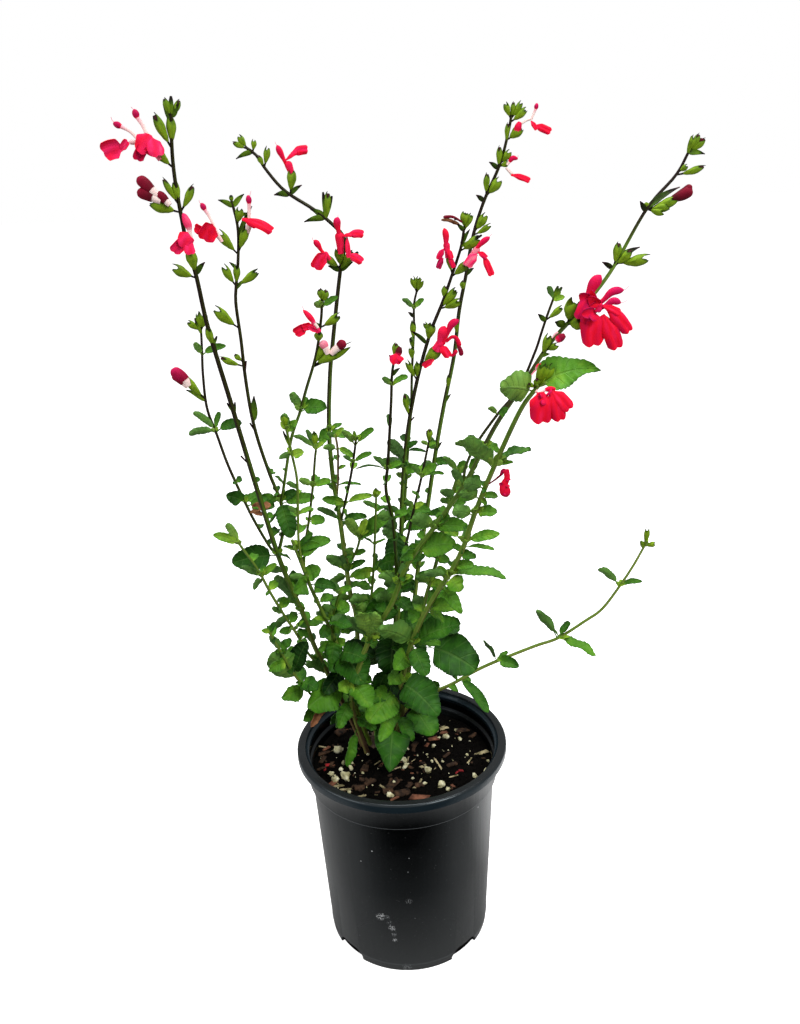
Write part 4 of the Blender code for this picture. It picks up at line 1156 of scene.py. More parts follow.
foliage("shoot_short_left", [], 0.65, [
    (292, 455, 279, 459, 4, 2, 20), (292, 456, 304, 452, 6, 3, 15), (286, 434, 297, 421, 5, 2, 15),
    (287, 434, 284, 414, 5, 2, 15), (297, 490, 286, 483, 4, 2, 30), (298, 515, 288, 507, 4, 2, 30),
    (298, 515, 312, 508, 4, -3, 30),
], [(286, 430, 5, 6, 1.0), (292, 455, 3, 5, 0.9), (298, 515, 3, 5, 0.8)])
foliage("shoot_short_right", [], 0.55, [
    (313, 487, 299, 480, 5, 2, 20), (313, 487, 331, 481, 5, 3, 20), (309, 522, 325, 521, 7, 4, 15),
    (308, 524, 298, 533, 3, 3, 30), (315, 448, 293, 436, 4, 2, 30), (315, 450, 327, 440, 4, -2, 30),
    (316, 446, 306, 430, 4, 2, 30),
], [(315, 446, 4, 6, 0.95), (313, 486, 3, 6, 0.9), (309, 522, 2, 4, 0.7)])
foliage("shoot_bent_twin", [], 0.6, [
    (338, 448, 353, 457, 5, 3, 20), (337, 450, 323, 448, 5, 3, 20), (336, 438, 344, 428, 4, 1, 20),
    (336, 438, 327, 433, 4, 1, 25), (338, 470, 346, 466, 3, 1, 30),
], [(336, 438, 3, 5, 0.9)])
foliage("shoot_bent_side", [], 0.55, [
    (359, 541, 346, 520, 8, 4, 15, 0.15, 0.1), (360, 540, 389, 518, 11, 4, 15, 0.12, 0.1),
    (361, 538, 367, 519, 6, 2, 20, 0.15, 0.4), (354, 556, 344, 550, 4, 2, 30), (355, 556, 366, 551, 5, 2, 30),
], [(361, 536, 3, 7, 1.0)])
foliage("shoot_left_foot", [], 0.5, [
    (333, 650, 346, 640, 8, 4, 20), (333, 650, 320, 644, 7, 4, 25), (333, 615, 322, 606, 7, 3, 20),
    (335, 608, 350, 606, 8, 4, 20), (332, 634, 342, 626, 6, 3, 30), (339, 594, 330, 584, 6, 2, 25),
    (340, 593, 352, 588, 6, 2, 25),
], [(339, 595, 4, 7, 0.85), (333, 650, 3, 7, 0.8)])
foliage("stem_middle", [], 0.45, [
    (391, 387, 382, 378, 4, 2, 25), (391, 387, 408, 377, 4, 2, 25), (391, 430, 388, 414, 4, 1, 30),
    (387, 470, 356, 469, 2, 2, 50), (387, 470, 373, 457, 4, 2, 25), (387, 470, 402, 463, 5, 2, 25),
    (387, 472, 384, 458, 4, 2, 20), (393, 520, 378, 516, 8, 5, 20), (392, 519, 408, 512, 6, 3, 25),
    (396, 560, 378, 566, 12, 10, 20), (396, 598, 376, 600, 10, 8, 25), (395, 600, 412, 612, 11, 10, 30),
    (393, 645, 408, 656, 13, 12, 30), (391, 636, 391, 674, 25, 6, 15, 0.12, -0.2),
    (389, 690, 372, 702, 12, 16, 30), (396, 606, 366, 612, 15, 6, 15, 0.18, -0.15),
    (391, 668, 372, 700, 16, 4, 25, 0.2, -0.25), (390, 672, 406, 704, 16, 2, 25, 0.2, -0.25),
    (392, 652, 368, 664, 14, -6, 20, 0.15, -0.25), (393, 640, 374, 632, 11, -6, 25, 0.15, -0.2),
    (394, 628, 412, 634, 12, -6, 25, 0.15, -0.2),
    (394, 540, 383, 530, 8, 3, 20), (396, 575, 410, 570, 8, 5, 30), (396, 620, 382, 615, 9, 5, 30),
], [(391, 387, 3, 5, 0.9), (387, 470, 4, 6, 0.9), (394, 522, 3, 7, 0.5), (396, 578, 4, 8, 0.7)])
foliage("stem_back_second", [], 0.36, [
    (403, 462, 388, 440, 9, 4, 15), (405, 452, 426, 452, 3, 2, 30), (405, 450, 418, 442, 4, 2, 30),
    (403, 474, 421, 468, 8, 4, 20), (404, 470, 384, 460, 8, 4, 20), (402, 515, 384, 508, 6, 4, 30),
    (402, 515, 431, 511, 7, 5, 25), (401, 530, 432, 524, 9, 4, 15), (400, 530, 390, 566, 16, 10, 15),
    (401, 532, 378, 522, 10, 5, 20), (400, 560, 421, 552, 8, 6, 25), (399, 590, 415, 585, 8, 6, 30),
    (399, 590, 384, 583, 8, 6, 30), (398, 620, 418, 618, 12, 8, 20), (396, 655, 378, 668, 14, 12, 20),
    (399, 585, 391, 570, 8, -6, 30), (398, 617, 385, 605, 10, -6, 25), (394, 690, 412, 700, 12, 10, 30),
], [(403, 470, 4, 8, 0.7), (402, 518, 5, 9, 0.6), (401, 555, 4, 9, 0.5), (399, 595, 4, 9, 0.5)])
foliage("shoot_middle_back", [], 0.55, [
    (408, 410, 404, 394, 4, 1, 15), (412, 310, 402, 299, 4, 2, 20), (412, 310, 424, 299, 4, 2, 20),
    (414, 345, 411, 337, 3, 1, 30), (408, 450, 417, 443, 3, 2, 30), (406, 480, 396, 474, 5, 2, 30),
    (404, 520, 416, 515, 6, -4, 30),
], [(412, 310, 3, 5, 0.9), (406, 480, 3, 6, 0.7)])
foliage("stem_back_tall", ["leaf_back_low_right", "leaf_back_foot_right"], 0.34, [
    (410, 648, 476, 670, 31, 20, 10, 0.4, -0.12), (404, 700, 433, 736, 23, 26, 20, 0.35, 0.0),
    (410, 655, 427, 674, 15, 8, 20, 0.2, -0.25), (436, 450, 428, 437, 5, 2, 15),
    (412, 628, 460, 630, 18, 8, 25, 0.2, 0.0), (413, 640, 426, 652, 9, 4, 30, 0.2, -0.25),
    (414, 607, 458, 604, 12, 6, 20, 0.3, -0.05), (416, 583, 450, 596, 9, -4, 25, 0.3, -0.1),
    (433, 462, 450, 462, 7, 3, 20), (433, 464, 420, 470, 6, 3, 25), (426, 517, 408, 527, 9, 5, 20),
    (426, 517, 446, 512, 6, 4, 25), (422, 545, 437, 557, 8, 5, 20), (421, 547, 405, 553, 9, 5, 20),
    (416, 583, 432, 574, 8, 5, 25), (416, 583, 400, 592, 9, 6, 25), (413, 617, 434, 622, 12, 8, 25),
    (413, 618, 396, 626, 12, 9, 25), (410, 652, 425, 672, 14, 10, 15), (408, 680, 428, 692, 14, 12, 25),
    (408, 680, 392, 694, 13, 14, 25), (404, 700, 424, 712, 14, 14, 25),
], [(426, 517, 4, 8, 0.6), (418, 569, 4, 8, 0.6), (413, 617, 4, 9, 0.5)])
foliage("stem_right_tall", ["leaf_right_foot"], 0.44, [
    (357, 728, 347, 767, 9, 14, 40, 0.3, 0.15), (355, 680, 338, 690, 13, 10, 30, 0.15, 0.3),
    (354, 684, 371, 708, 17, 12, 20, 0.12, 0.3), (353, 700, 338, 728, 12, 14, 30, 0.3, 0.05),
    (369, 640, 331, 621, 12, 6, 35, 0.15, -0.05), (367, 641, 362, 613, 13, 14, 10, 0.25, 0.4),
    (370, 641, 377, 615, 12, 13, 10, 0.25, 0.4), (369, 641, 392, 634, 8, 6, 40), (397, 584, 378, 577, 6, 4, 25),
    (357, 716, 376, 730, 13, 10, 30, 0.3, -0.1),
    (397, 584, 414, 577, 7, 4, 25), (396, 585, 386, 571, 4, 4, 30), (399, 582, 404, 564, 6, 4, 30),
    (414, 552, 456, 545, 17, 4, 10), (414, 553, 400, 560, 8, 8, 25), (433, 529, 412, 520, 10, 4, 20),
    (433, 529, 468, 528, 10, 2, 15), (436, 526, 450, 516, 6, 2, 20), (455, 500, 440, 492, 6, 3, 20),
    (456, 498, 470, 500, 6, -3, 20), (484, 447, 470, 440, 5, 3, 30), (485, 447, 500, 452, 6, -4, 30),
    (499, 420, 508, 408, 5, 3, 30), (463, 487, 452, 470, 6, 3, 20), (464, 486, 480, 478, 8, -4, 20),
    (470, 474, 478, 458, 6, -3, 20), (408, 565, 425, 556, 6, -4, 30), (381, 622, 398, 612, 8, -6, 30),
], [(369, 641, 6, 11, 0.95), (397, 583, 6, 10, 0.95), (433, 529, 4, 8, 0.8), (463, 487, 5, 9, 0.9),
    (484, 447, 3, 7, 0.8), (355, 684, 5, 10, 0.9)])
foliage("shoot_right_inner", [], 0.6, [
    (554, 300, 548, 286, 4, 2, 20), (553, 301, 565, 297, 4, 2, 20), (477, 443, 468, 436, 4, 2, 30),
    (497, 415, 488, 408, 4, 2, 30),
], [(554, 297, 4, 5, 0.95)])
foliage("shoot_middle_low", [], 0.6, [
    (421, 478, 437, 466, 6, 3, 15), (421, 478, 444, 474, 3, 2, 30), (421, 478, 412, 466, 4, 2, 20),
    (429, 446, 421, 442, 3, 1, 20), (429, 446, 436, 443, 3, 1, 20), (414, 509, 424, 503, 5, 2, 30),
    (414, 509, 404, 502, 5, 2, 30),
], [(421, 478, 4, 6, 0.95), (414, 509, 2, 5, 0.7)])
foliage("stem_front", [
    "leaf_front_top_right", "leaf_front_top_left", "leaf_front_upper_left", "leaf_front_upper_right",
    "leaf_front_middle_right", "leaf_front_lower_right", "leaf_front_lower_left", "leaf_front_low",
    "leaf_front_foot",
], 0.5, [
    (538, 388, 601, 370, 20, 4, 20, 0.14, 0.14, 1.15), (534, 392, 501, 388, 18, 6, 15, 0.15, 0.12),
    (493, 469, 456, 442, 15, 10, 50, 0.15, 0.1),
    (496, 463, 531, 451, 9, 0, 60), (449, 576, 506, 579, 13, 0, 58), (412, 643, 461, 624, 19, 6, 35),
    (412, 642, 380, 630, 18, 14, 35, 0.12, -0.02), (401, 684, 438, 716, 27, 16, 15, 0.12, -0.42),
    (394, 716, 390, 772, 25, 44, 10, 0.42, -0.34, 0.8),
    (494, 468, 513, 463, 4, 3, 40), (483, 497, 498, 497, 5, 3, 30), (474, 514, 497, 513, 8, 4, 25),
    (474, 515, 452, 512, 9, 6, 15), (480, 500, 460, 494, 9, 6, 20), (484, 490, 464, 484, 8, 6, 20),
    (466, 543, 500, 534, 7, 3, 15), (465, 545, 467, 530, 6, 2, 20), (464, 547, 494, 550, 4, 3, 40),
    (459, 557, 476, 558, 7, 3, 20), (454, 568, 474, 566, 7, 3, 20), (449, 577, 424, 574, 6, 5, 25),
    (449, 578, 460, 592, 13, 6, 20), (441, 588, 461, 614, 9, 8, 20), (428, 607, 458, 609, 10, 5, 15),
    (411, 645, 426, 676, 14, 14, 15), (408, 655, 394, 670, 14, 14, 15), (447, 578, 438, 566, 6, -4, 20),
    (400, 688, 368, 722, 24, 18, 15, 0.25, -0.08), (411, 645, 440, 645, 10, -8, 30),
    (395, 712, 412, 742, 12, 22, 30, 0.3, -0.1), (395, 712, 374, 736, 13, 22, 30, 0.3, -0.12),
    (480, 498, 486, 506, 4, 2, 30), (420, 622, 408, 612, 10, -8, 30), (404, 672, 388, 684, 14, 14, 30),
    (396, 705, 380, 742, 13, 30, 25), (426, 612, 444, 622, 8, -6, 40),
], [(538, 388, 3, 6, 0.95), (494, 467, 5, 10, 0.95), (474, 514, 4, 8, 0.9), (465, 545, 4, 9, 0.95),
    (449, 576, 5, 10, 0.95), (411, 645, 5, 11, 0.9), (401, 684, 5, 11, 0.8)])
foliage("shoot_front", [], 0.55, [
    (459, 475, 443, 458, 5, 3, 25), (459, 475, 466, 461, 6, 3, 20), (452, 495, 462, 486, 6, -3, 20),
    (449, 505, 440, 500, 5, 2, 30), (449, 505, 466, 503, 8, 3, 15), (443, 530, 430, 524, 7, 3, 25),
    (443, 530, 458, 536, 8, 4, 20), (437, 560, 428, 552, 6, 3, 25), (437, 560, 450, 562, 7, 5, 20),
    (430, 583, 416, 578, 7, 3, 25), (430, 583, 444, 590, 8, 5, 20), (424, 605, 412, 600, 8, 5, 25),
], [(459, 475, 5, 8, 0.95), (449, 505, 4, 8, 0.85), (440, 545, 4, 8, 0.85), (430, 583, 4, 8, 0.8)])
foliage("stem_trailing", ["leaf_trailing_rim", "leaf_trailing_outer"], 0.42, [
    (459, 681, 488, 713, 9, 40, 25), (558, 638, 596, 656, 11, 12, 50), (497, 661, 519, 667, 10, 8, 15),
    (497, 661, 483, 641, 5, 2, 50), (558, 638, 536, 611, 8, 2, 25), (558, 637, 570, 622, 6, -4, 20),
    (558, 637, 553, 629, 2, 1, 20), (619, 587, 598, 569, 7, 2, 25), (619, 587, 642, 582, 5, 2, 20),
    (458, 682, 452, 674, 4, 2, 20), (460, 681, 471, 681, 6, -3, 20), (427, 695, 440, 686, 10, 6, 30),
    (427, 695, 415, 688, 10, 6, 30), (498, 661, 508, 652, 5, -4, 30), (447, 686, 458, 692, 6, 5, 30),
], [(619, 587, 4, 7, 0.95), (558, 638, 4, 7, 0.9), (645, 547, 4, 7, 1.0), (497, 661, 3, 6, 0.8)])
foliage("shoot_low_left", [], 0.6, [
    (238, 545, 213, 535, 6, 2, 10), (240, 545, 226, 524, 5, 2, 10), (263, 577, 277, 564, 5, 2, 20),
    (262, 578, 241, 567, 5, 3, 25), (296, 629, 279, 632, 6, 4, 15), (296, 628, 304, 621, 3, -2, 25),
    (284, 615, 272, 608, 5, 3, 30), (296, 630, 308, 636, 6, -5, 30), (262, 578, 254, 590, 5, -4, 30),
], [(240, 545, 4, 6, 0.95), (262, 577, 4, 6, 0.9), (296, 629, 3, 6, 0.8)])
foliage("shoot_low_left_front", ["leaf_low_left_front"], 0.36, [
    (299, 678, 269, 656, 20, 16, 15, 0.1, 0.15), (307, 690, 281, 698, 13, 10, 25, 0.15, 0.1),
    (296, 672, 308, 642, 14, 2, 20, 0.1, -0.15), (284, 664, 268, 671, 9, 10, 30, 0.1, 0.1),
    (281, 652, 270, 636, 6, 4, 25),
    (300, 682, 318, 690, 12, 8, 20), (281, 652, 292, 640, 7, -3, 25), (269, 634, 276, 622, 4, 1, 30),
    (328, 703, 303, 721, 10, 18, 25, 0.35, 0.05),
    (318, 699, 332, 690, 11, -6, 25),
], [(283, 655, 4, 7, 0.6), (270, 634, 3, 6, 0.8), (303, 685, 4, 8, 0.5)])
foliage("shoot_centre", [], 0.5, [
    (376, 510, 363, 502, 4, 2, 20), (375, 545, 364, 538, 2, 1, 40), (375, 545, 386, 539, 2, 1, 40),
    (375, 572, 354, 578, 9, 5, 20), (375, 570, 398, 576, 8, 4, 25), (374, 572, 388, 562, 8, -3, 20),
    (371, 600, 350, 602, 8, 5, 30), (371, 600, 386, 590, 6, 4, 35), (369, 622, 358, 605, 10, 3, 15),
    (369, 622, 384, 608, 12, 3, 15), (376, 512, 386, 506, 3, 1, 30),
], [(376, 498, 4, 6, 1.0), (375, 545, 3, 4, 0.9), (375, 572, 4, 8, 0.6), (371, 605, 4, 8, 0.5)])

# Calyces and bracts
# Each flower sits in a green ribbed cup with three long teeth, which stays on after the petals
# drop. Teeth and ribs are flushed purple-black. Small pointed bracts stand in pairs below them.
CUP_SIDES = 15
CUP_ROWS = 9
CUP_WALL = 0.35 * MM
TOOTH_TONE = 0.84
SHUT_FROM = 0.75
BUD_HEAD_TONE = 1.0
PEDICEL_RADIUS = 0.5 * MM


def cup_mesh():
    """An open tube one unit long and in radius, with a wall."""
    shape = bmesh.new()
    bmesh.ops.create_circle(shape, segments=CUP_SIDES, radius=1)
    edges = list(shape.edges)
    for row in range(CUP_ROWS):
        grown = bmesh.ops.extrude_edge_only(shape, edges=edges)["geom"]
        edges = [item for item in grown if isinstance(item, bmesh.types.BMEdge)
                 and len(item.link_faces) == 1]
        bmesh.ops.translate(shape, verts=[item for item in grown if isinstance(item, bmesh.types.BMVert)],
                            vec=(0, 0, 1 / CUP_ROWS))
    bmesh.ops.recalc_face_normals(shape, faces=shape.faces)
    bmesh.ops.solidify(shape, geom=list(shape.faces), thickness=0.2)
    sizes = sorted(vert.co.xy.length for vert in shape.verts)
    middle = (sizes[0] + sizes[-1]) / 2
    for vert in shape.verts:
        angle = atan2(vert.co.y, vert.co.x)
        size = 1 if vert.co.xy.length > middle else 0.5
        vert.co.x, vert.co.y = size * cos(angle), size * sin(angle)
    bmesh.ops.recalc_face_normals(shape, faces=shape.faces)
    mesh = bpy.data.meshes.new("cup")
    shape.to_mesh(mesh)
    shape.free()
    return mesh


CUP = cup_mesh()
ROD = wand_mesh(7, 10)


def rod(shape, line, radius_at, tone_at):
    """A thin round rod or bud along a line of any number of points."""
    wand(shape, ROD, resample(line, 10), radius_at, tone_at)


def cup(shape, line, width, dark, chance):
    """A ribbed cup along a line, with a long tooth above and two below. dark is how far down the flush goes."""
    line = resample(line, 20)
    frames = framed(line, Vector((1, 0.2, 0)))
    verts, tone = copied(shape, CUP)
    ahead = (line[-1] - line[-3]).normalized()
    upright = Vector((0, 0, 1)) - ahead * ahead.z
    sway = chance.uniform(-0.5, 0.5)
    tooth_share = chance.uniform(0.28, 0.38)
    closing = 0.82 if dark > SHUT_FROM else 0.55
    for vert in verts:
        along, size = vert.co.z, vert.co.xy.length
        angle = atan2(vert.co.y, vert.co.x)
        around = angle + sway
        upper = max(0, cos(around)) ** 2.6
        lower = max(0, cos(around - 2.3), cos(around + 2.3)) ** 5 * 0.7
        tooth = max(upper, lower)
        reach = along * (1 - tooth_share * (1 - tooth))
        point, side, up = frames[round(min(along, 1) * (len(line) - 1))]
        if upright.length > 0.05:
            up = upright.normalized()
            side = up.cross(ahead).normalized()
        swell = 0.22 + 0.78 * sin(pi / 2 * min(1, along * 1.3))
        rib = 1 + 0.05 * cos(5 * angle)
        radius = width / 2 * swell * rib * (1 - closing * max(0, 2 * reach - 1) ** 1.6)
        if size < 0.9:
            radius = max(radius - CUP_WALL, 0.12 * MM)
        along_point = line[0].lerp(line[-1], reach) + (point - line[0].lerp(line[-1], min(along, 1)))
        vert.co = along_point + (up * cos(angle) + side * sin(angle)) * radius
        vert[tone] = min(TOOTH_TONE, dark * 0.6 * max(0, reach - 0.4) + 5 * max(0, reach - 0.85)
                         + 3.5 * max(0, along - 0.92) + 0.16 * max(0, cos(5 * angle)) ** 2)


def calyx_material():
    """Tone 0 is bright yellow-green, 1 purple-black, with fine hairs that soften the gloss."""
    made, shader, spots = new_material("calyx_skin", 0.55, 240.0, 2600.0, Specular_IOR_Level=0.1)
    tree = made.node_tree
    tone = node(tree, "ShaderNodeAttribute", attribute_name="tone")
    shifted = sums(tree, "ADD", tone.outputs["Fac"],
                   sums(tree, "MULTIPLY", sums(tree, "SUBTRACT", spots.outputs["Blotches"], 0.5), 0.5))
    color = ramp(tree, shifted, [
        (0.0, (0.175, 0.29, 0.010)), (0.22, (0.085, 0.165, 0.006)), (0.45, (0.030, 0.070, 0.004)),
        (0.68, (0.010, 0.008, 0.004)), (0.86, (0.005, 0.002, 0.002)), (1.0, (0.040, 0.004, 0.007)),
    ])
    tree.links.new(color, shader.inputs["Base Color"])
    bumped(tree, shader, spots.outputs["Grain"], 0.4, 0.0004)
    return made


CALYX_SKIN = calyx_material()


def spot_at(stem_name, node_at, at, toward=0.0):
    """A picture position at the depth of a stem's node, moved towards the viewer."""
    root = stems[stem_name]["line"][nearest_step(stem_name, node_at)]
    return place(*at, root.y / MM - toward)


def add_calyx(shape, stem_name, node_at, tip_at, width, toward, dark, chance, base_share=0.22):
    """A calyx on its short stalk, from a stem's node to the tips of its teeth."""
    root = stems[stem_name]["line"][nearest_step(stem_name, node_at)]
    tip = place(*tip_at, root.y / MM - toward)
    line = bowed(root, root.lerp(tip, 0.5) - Vector((0, 0, 0.06 * (tip - root).length)), tip)
    base = max(2, round(len(line) * base_share))
    rod(shape, line[:base + 2], lambda along: PEDICEL_RADIUS * (1 + 0.4 * along), lambda along: 0.75)
    cup(shape, line[base:], width, dark, chance)
    if dark > SHUT_FROM:
        head = line[round(len(line) * 0.66):round(len(line) * 0.92)]
        rod(shape, head, lambda along: width * 0.3 * sin(pi * (0.2 + 0.72 * along)) ** 0.6,
            lambda along: BUD_HEAD_TONE)


def add_bud(shape, line, width, dark):
    """A closed bud in its calyx: green below, with a dark pointed head."""
    rod(shape, line, lambda along: width / 2 * (0.3 + 0.7 * sin(pi * min(1, along * 0.86 + 0.1)) ** 0.8),
        lambda along: min(TOOTH_TONE, 0.15 + dark * max(0, along - 0.45) * 1.8))


def inflorescence(stem_name, calyces, buds=(), bracts=(), remnants=()):
    """A stem's calyces, closed buds and bracts as one piece.

    calyces, buds: (node across, down, tip across, down, width in mm, toward, dark)
    bracts: (node across, down, tip across, down, width, toward, turn, tone)
    remnants: (from across, down, to across, down, toward), stalks that flowers have dropped from.
    """
    shape = new_growth()
    chance = Random(stem_name + "_calyx")
    for node_across, node_down, tip_across, tip_down, width, toward, dark in calyces:
        add_calyx(shape, stem_name, (node_across, node_down), (tip_across, tip_down), width * MM, toward, dark,
                  chance)
    for node_across, node_down, tip_across, tip_down, width, toward, dark in buds:
        root = stems[stem_name]["line"][nearest_step(stem_name, (node_across, node_down))]
        tip = place(tip_across, tip_down, root.y / MM - toward)
        add_bud(shape, bowed(root, root.lerp(tip, 0.5), tip), width * MM, dark)
    for node_across, node_down, tip_across, tip_down, width, toward, turn, tone in bracts:
        root = stems[stem_name]["line"][nearest_step(stem_name, (node_across, node_down))]
        tip = place(tip_across, tip_down, root.y / MM - toward)
        line = bowed(root, root.lerp(tip, 0.5) + Vector((0, 0, 0.12 * (tip - root).length)), tip)
        sheet(shape, SMALL_SHEET, line, blade_side(line, radians(turn)),
              lambda along: width / 2 * MM * max(0.12, sin(pi * along**0.6) ** 0.9), LEAF_THICKNESS,
              lambda along, aside: tone + max(0, along - 0.6) * 1.6, 0.8)
    for from_across, from_down, to_across, to_down, toward in remnants:
        step = nearest_step(stem_name, (from_across, from_down))
        root = stems[stem_name]["line"][step]
        tip = place(to_across, to_down, root.y / MM - toward)
        rod(shape, bowed(root, root.lerp(tip, 0.5) - Vector((0, 0, 0.5 * MM)), tip),
            lambda along: 0.45 * MM * (1 + 0.5 * along), lambda along: 0.9)
    bmesh.ops.recalc_face_normals(shape, faces=shape.faces)
    finish_piece(stem_name + "_calyces", shape, CALYX_SKIN, (), 50)


# Withered leaves
# A few leaves that have dried brown and curled, still on their stems low on the left.
WITHERED_SKIN = bark_material("withered_leaf", (0.10, 0.030, 0.010), (0.36, 0.16, 0.07))
WITHERED_LEAVES = [
    ("shoot_left_outer", (250, 512), (271, 506), 7, 9, 20),
    ("shoot_left_outer", (250, 512), (262, 516), 5, 9, 40),
    ("shoot_low_left_front", (328, 703), (311, 727), 7, 20, 35),
    ("stem_back_second", (461, 226), (441, 220), 3, 2, 35),
]
withered = new_growth()
withering = Random("withered")
for stem_name, node_at, tip_at, width, toward, turn in WITHERED_LEAVES:
    leaf(withered, stem_name, node_at, tip_at, width, toward, turn, 0.0, withering)
bmesh.ops.recalc_face_normals(withered, faces=withered.faces)
finish_piece("withered_leaves", withered, WITHERED_SKIN, (), 50)

inflorescence("stem_left_tall", [
    (169, 168, 152, 146, 6, 3, 0.3), (168, 150, 153, 112, 6, 2, 1.0), (172, 148, 170, 113, 6, -1, 1.0),
    (178, 212, 148, 201, 8, 3, 0.5), (181, 208, 174, 180, 5, 0, 0.5), (183, 212, 194, 184, 5, -2, 0.9),
    (196, 275, 189, 248, 7, 4, 0.3), (196, 277, 171, 266, 7, 1, 0.7), (180, 205, 162, 177, 4, 2, 0.9),
    (214, 348, 207, 326, 5, 3, 0.3), (171, 118, 164, 97, 4, 2, 0.8), (171, 118, 180, 99, 4, -2, 0.8),
], [
    (171, 114, 171, 96, 3, 0, 1.0), (213, 346, 217, 336, 2, -1, 1.0), (213, 346, 213, 337, 2, 1, 1.0),
    (235, 416, 235, 402, 2, -1, 1.0), (233, 414, 227, 403, 2, 1, 1.0),
], [
    (172, 118, 179, 103, 4, 1, 20, 0.4), (171, 120, 163, 104, 4, 1, 20, 0.4), (196, 276, 205, 262, 4, -1, 20, 0.5),
], [(245, 466, 241, 456, 1), (192, 262, 187, 252, 2)])
inflorescence("stem_left_second", [
    (238, 225, 240, 207, 6, 1, 0.6), (238, 253, 247, 226, 6, 2, 0.4), (238, 254, 217, 230, 7, 2, 0.4),
    (236, 287, 222, 264, 6, 2, 0.6), (236, 286, 237, 264, 5, 0, 0.5), (238, 287, 259, 270, 6, 1, 0.6),
    (237, 328, 213, 307, 8, 2, 0.5), (241, 367, 219, 357, 5, 2, 0.8), (242, 362, 234, 354, 4, 1, 0.9),
], [(232, 201, 231, 195, 3, 0, 1.0)], [
    (233, 207, 218, 200, 4, 1, 20, 0.2), (235, 206, 244, 194, 4, 1, 20, 0.2), (238, 217, 251, 214, 3, 0, 20, 0.3),
    (254, 422, 254, 396, 6, 1, 20, 0.3), (240, 290, 246, 279, 3, 1, 30, 0.4), (235, 270, 229, 262, 3, 0, 30, 0.4),
    (238, 240, 252, 206, 4, -2, 30, 0.4),
], [(245, 375, 246, 361, 1), (256, 432, 250, 423, 1)])
inflorescence("shoot_left_outer", [
    (203, 400, 184, 376, 6, 2, 0.1), (201, 331, 187, 321, 5, 2, 0.6), (201, 331, 206, 313, 5, -2, 0.7),
    (201, 331, 198, 311, 5, 1, 0.7),
], [(201, 333, 195, 318, 3, 0, 1.0)], [(204, 402, 186, 390, 5, 0, 30, 0.1)])
inflorescence("shoot_left_inner", [
    (323, 302, 320, 288, 5, 1, 0.8), (323, 304, 327, 289, 5, -1, 0.8), (322, 328, 341, 314, 6, 1, 0.7),
    (320, 343, 319, 331, 6, 2, 0.4), (316, 366, 326, 342, 6, 2, 0.3), (316, 366, 337, 350, 8, 2, 0.4),
    (316, 368, 353, 343, 6, 0, 0.7),
], [], [
    (321, 330, 313, 322, 4, 1, 20, 0.3),
])
inflorescence("stem_bent", [
    (248, 148, 232, 142, 4, 2, 0.8), (249, 149, 238, 135, 5, 0, 0.7), (254, 152, 254, 139, 4, -1, 0.7),
    (265, 168, 268, 146, 5, -1, 0.6), (265, 168, 258, 155, 4, 2, 0.9), (292, 191, 292, 168, 7, 1, 0.4),
    (328, 216, 328, 191, 6, 0, 0.9), (341, 268, 338, 246, 7, 3, 0.5), (340, 269, 325, 256, 6, 5, 0.6),
    (342, 269, 353, 250, 6, 4, 0.8),
], [(328, 214, 332, 196, 3, 0, 1.0), (328, 214, 323, 192, 3, 1, 1.0), (343, 268, 358, 252, 4, 3, 1.0)], [
    (252, 153, 236, 159, 4, 1, 20, 0.3), (291, 193, 274, 195, 5, 1, 20, 0.4), (326, 219, 310, 209, 5, 1, 20, 0.3),
    (326, 220, 304, 222, 5, 2, 20, 0.3), (343, 270, 353, 262, 5, 0, 20, 0.4), (339, 272, 328, 266, 5, 1, 20, 0.4),
    (292, 192, 302, 185, 4, -1, 30, 0.5),
])
inflorescence("stem_middle", [(396, 360, 396, 342, 5, 0, 0.9)], [(395, 360, 399, 346, 3, 0, 1.0)],
              [(395, 362, 389, 355, 3, 1, 20, 0.5), (392, 375, 400, 368, 3, 1, 20, 0.5)])
inflorescence("stem_back_second", [
    (409, 419, 404, 393, 5, 1, 0.9), (410, 379, 406, 360, 5, 2, 0.6), (414, 379, 417, 361, 5, 0, 0.7),
    (417, 339, 432, 323, 8, 2, 0.6), (440, 310, 457, 288, 7, 2, 0.7), (443, 300, 445, 285, 5, -1, 0.8),
    (441, 309, 462, 300, 7, 3, 0.3), (422, 366, 441, 346, 10, 4, 0.3), (464, 230, 465, 211, 7, 0, 0.5), (464, 232, 472, 213, 5, -1, 0.6),
    (450, 275, 448, 253, 5, 2, 0.6), (453, 278, 468, 262, 7, 1, 0.5), (460, 250, 480, 237, 8, 1, 0.7),
    (430, 334, 424, 322, 4, 1, 0.7),
], [(460, 247, 482, 235, 3, 1, 1.0)], [
    (417, 341, 411, 331, 4, 1, 30, 0.5), (461, 247, 470, 229, 4, 0, 30, 0.4),
    (464, 231, 457, 224, 4, 1, 30, 0.4),
], [(411, 424, 414, 417, 0)])
inflorescence("shoot_middle_back", [
    (417, 292, 412, 276, 5, 1, 0.5), (417, 292, 419, 276, 5, 0, 0.5), (417, 293, 423, 279, 4, -1, 0.5),
    (414, 342, 413, 320, 5, 1, 0.6), (415, 362, 411, 346, 5, 1, 0.7),
], [(414, 347, 410, 338, 3, 0, 0.9)], [(414, 318, 408, 312, 3, 1, 20, 0.6)])
